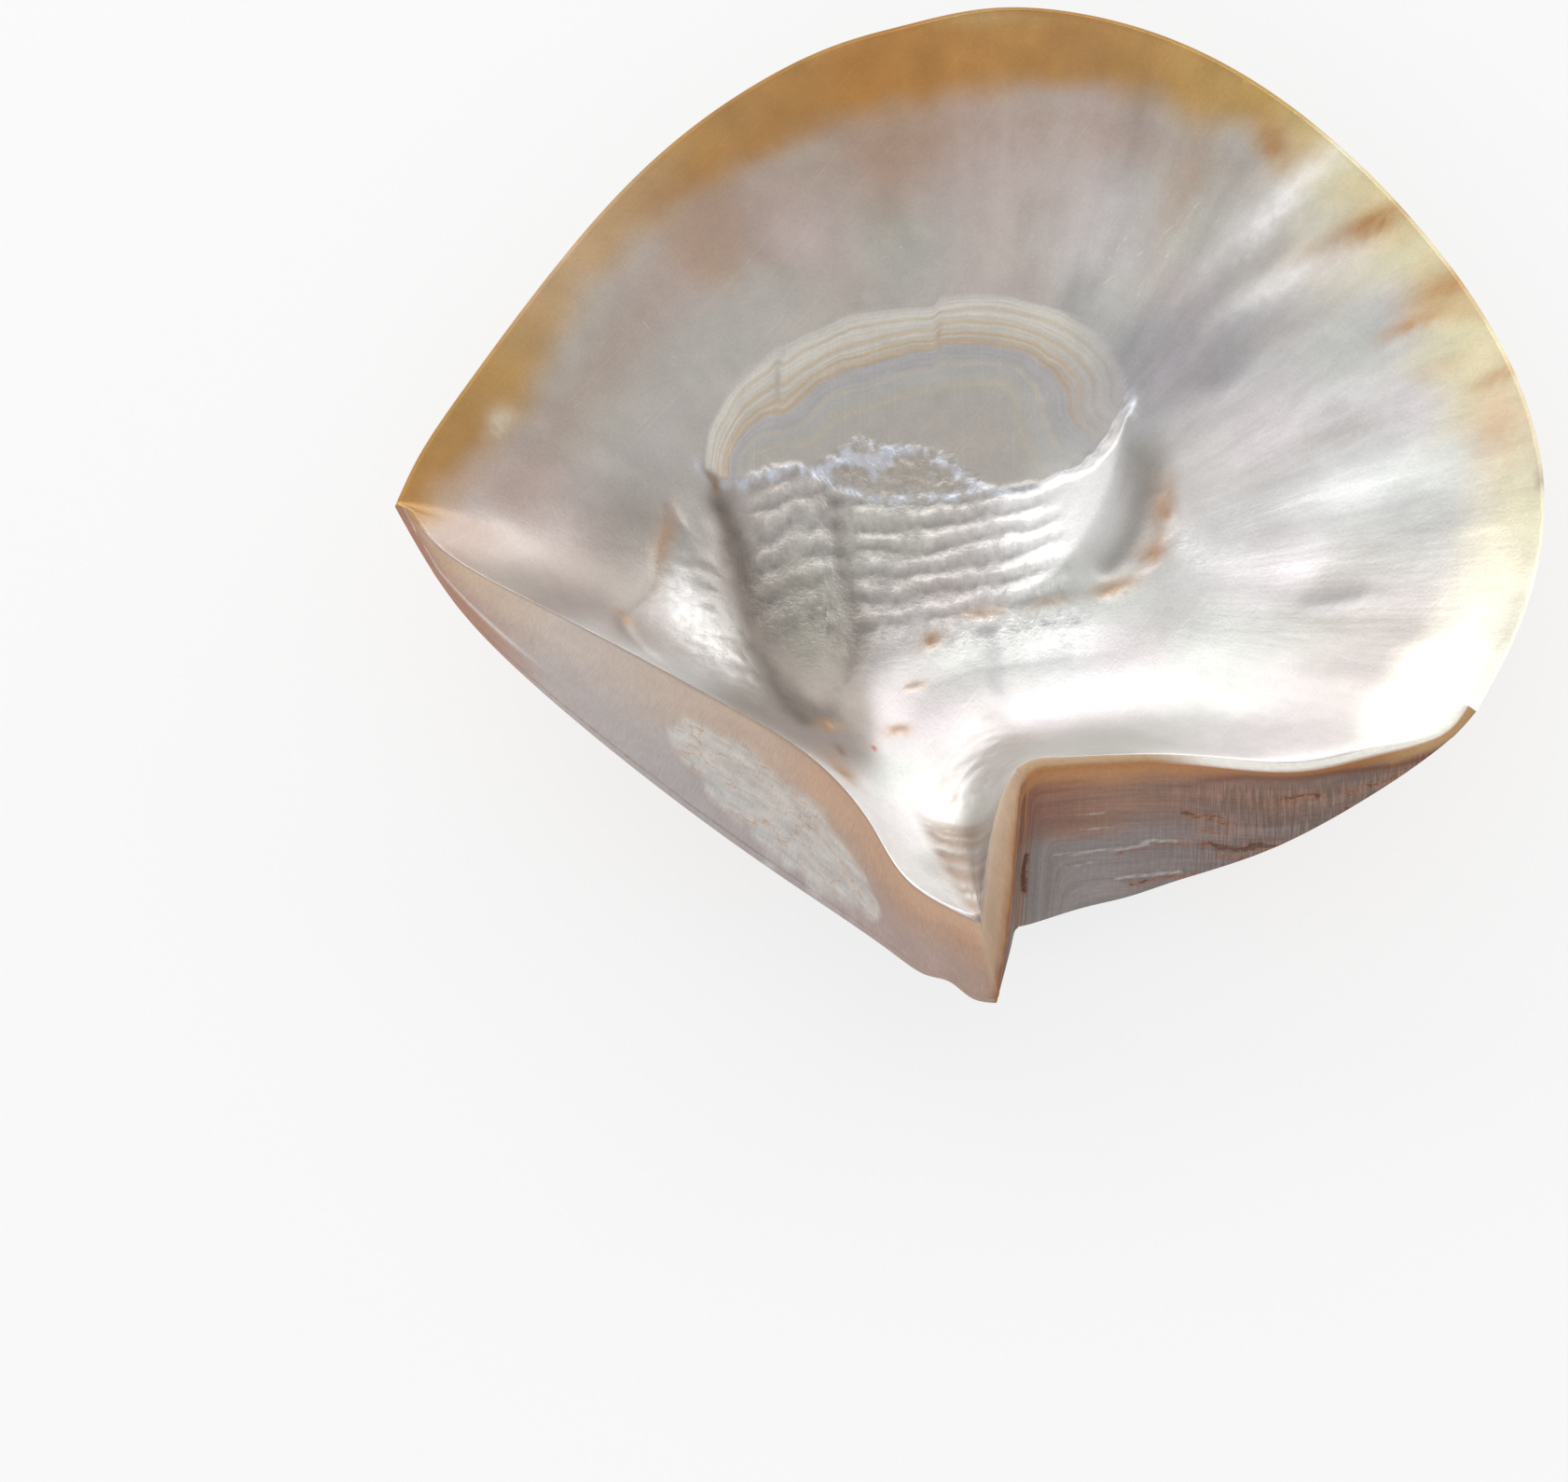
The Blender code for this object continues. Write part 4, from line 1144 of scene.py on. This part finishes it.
def outsideMaterial():
    # outer face with its bark ground off and the golden nacre under it polished: growth bands round
    # the beak, silver at the beak, and fine sanding marks that fan out
    material, tree, shader, place = startMaterial("golden_nacre_sanded", 0.34, 0.35, "growthPlace")
    place = place["Vector"]
    growth = addNode(tree, "SeparateXYZ", {0: place})["X"]
    share = addNode(tree, "MapRange", {"Value": growth, "From Max": outside["length"]})[0]
    bands = addNode(tree, "ValToRGB", {"Fac": share})[0]
    setRamp(bands, [
        (0, "#a19d96"), (0.16, "#a9a59f"), (0.27, "#b3aca8"), (0.34, "#b0958a"), (0.4, "#b58373"),
        (0.46, "#bb9068"), (0.5, "#c39a52"), (0.525, "#c09a60"), (0.535, "#c6b6ba"), (0.55, "#b98545"),
        (0.6, "#b27f3c"), (0.66, "#b98a4d"), (0.69, "#bda08a"), (0.72, "#b78443"), (0.78, "#c2995c"),
        (0.82, "#b57f3b"), (0.87, "#c49d60"), (0.92, "#b8823d"), (0.965, "#be9150"), (1, "#a3692f"),
    ])
    layPatterns(tree, shader, bands, [
        (place, (1.5, 70, 1), (0.3, 0.7), (0.8, 1.16), 0.1, None),
        (place, (7, 14, 1), (0.3, 0.7), (0.88, 1.1), 0.25, None),
        (place, (9, 0.4, 1), (0.3, 0.7), (0.93, 1.06), 0.015, None),
    ])
    return material


valve = buildValve()
for material in (nacreMaterial(), hingeMaterial(), wallMaterial(), outsideMaterial()):
    valve.data.materials.append(material)
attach(valve, "root")
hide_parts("valve")
print("valve", len(valve.data.vertices), sum(len(p.vertices) - 2 for p in valve.data.polygons))

studio = {
    "cameraPlace": (-0.02586, -0.339, 0.53378),
    "cameraAim": (-0.02586, -0.04699, 0.028),
    "lens": 100,
    "fill": 0.5,  # strength of the world on what isn't seen directly
    "shellMiddle": (0, 0, 0.02),  # metres, as all of the studio
    "softboxes": [  # name, place, size and watts, each turned to the shell's middle
        ("back_softbox", (-0.3, 1.05, 0.42), (1.5, 0.8), 9.5),
        ("right_softbox", (0.8, 0.85, 0.38), (0.9, 0.72), 4.5),
        ("front_softbox", (-0.35, -1.1, 0.55), (1.4, 0.9), 8),
    ],
    "floorHalf": 3,  # from its middle to its sides
    "floorGlow": 0.75,  # how much of the floor's plain white the camera sees, the rest is lit paper
}


def makeStudio():
    scene = bpy.context.scene
    camera = bpy.data.cameras.new("camera")
    camera.lens, camera.sensor_width, camera.clip_start = studio["lens"], 36, 0.01
    scene.camera = addObject("camera", camera, studio["cameraPlace"], studio["cameraAim"])
    for name, spot, size, power in studio["softboxes"]:
        lamp = bpy.data.lights.new(name, "AREA")
        lamp.shape = "RECTANGLE"
        lamp.size, lamp.size_y = size
        lamp.energy = power
        addObject(name, lamp, spot, studio["shellMiddle"])
    scene.world = bpy.data.worlds.new("studio")
    scene.world.use_nodes = True
    tree = scene.world.node_tree
    sight = addNode(tree, "LightPath", {})
    rays = {0: sight["Is Camera Ray"], 1: sight["Is Glossy Ray"]}
    seen = addNode(tree, "Math", rays, operation="MAXIMUM")[0]
    strength = addNode(tree, "MapRange", {"Value": seen, "To Min": studio["fill"], "To Max": 1})[0]
    background = tree.nodes["Background"].inputs
    tree.links.new(strength, background["Strength"])
    background["Color"].default_value = (1, 1, 1, 1)
    half = studio["floorHalf"]
    mesh = bpy.data.meshes.new("floor")
    corners = [(-half, -half, 0), (half, -half, 0), (half, half, 0), (-half, half, 0)]
    mesh.from_pydata(corners, [], [(0, 1, 2, 3)])
    material, tree, shader = startMaterial("floor_paper", 0.9, 0)
    shader.inputs["Base Color"].default_value = (0.85, 0.85, 0.85, 1)
    glow = addNode(tree, "Emission", {"Strength": 1})[0]
    sight = addNode(tree, "LightPath", {})["Is Camera Ray"]
    amount = addNode(tree, "Math", {0: sight, 1: studio["floorGlow"]}, operation="MULTIPLY")[0]
    mix = addNode(tree, "MixShader", {0: amount, 1: shader.outputs[0], 2: glow})[0]
    tree.links.new(mix, tree.nodes["Material Output"].inputs["Surface"])
    mesh.materials.append(material)
    floor = addObject("floor", mesh)
    scene.view_settings.view_transform = "Standard"


makeStudio()
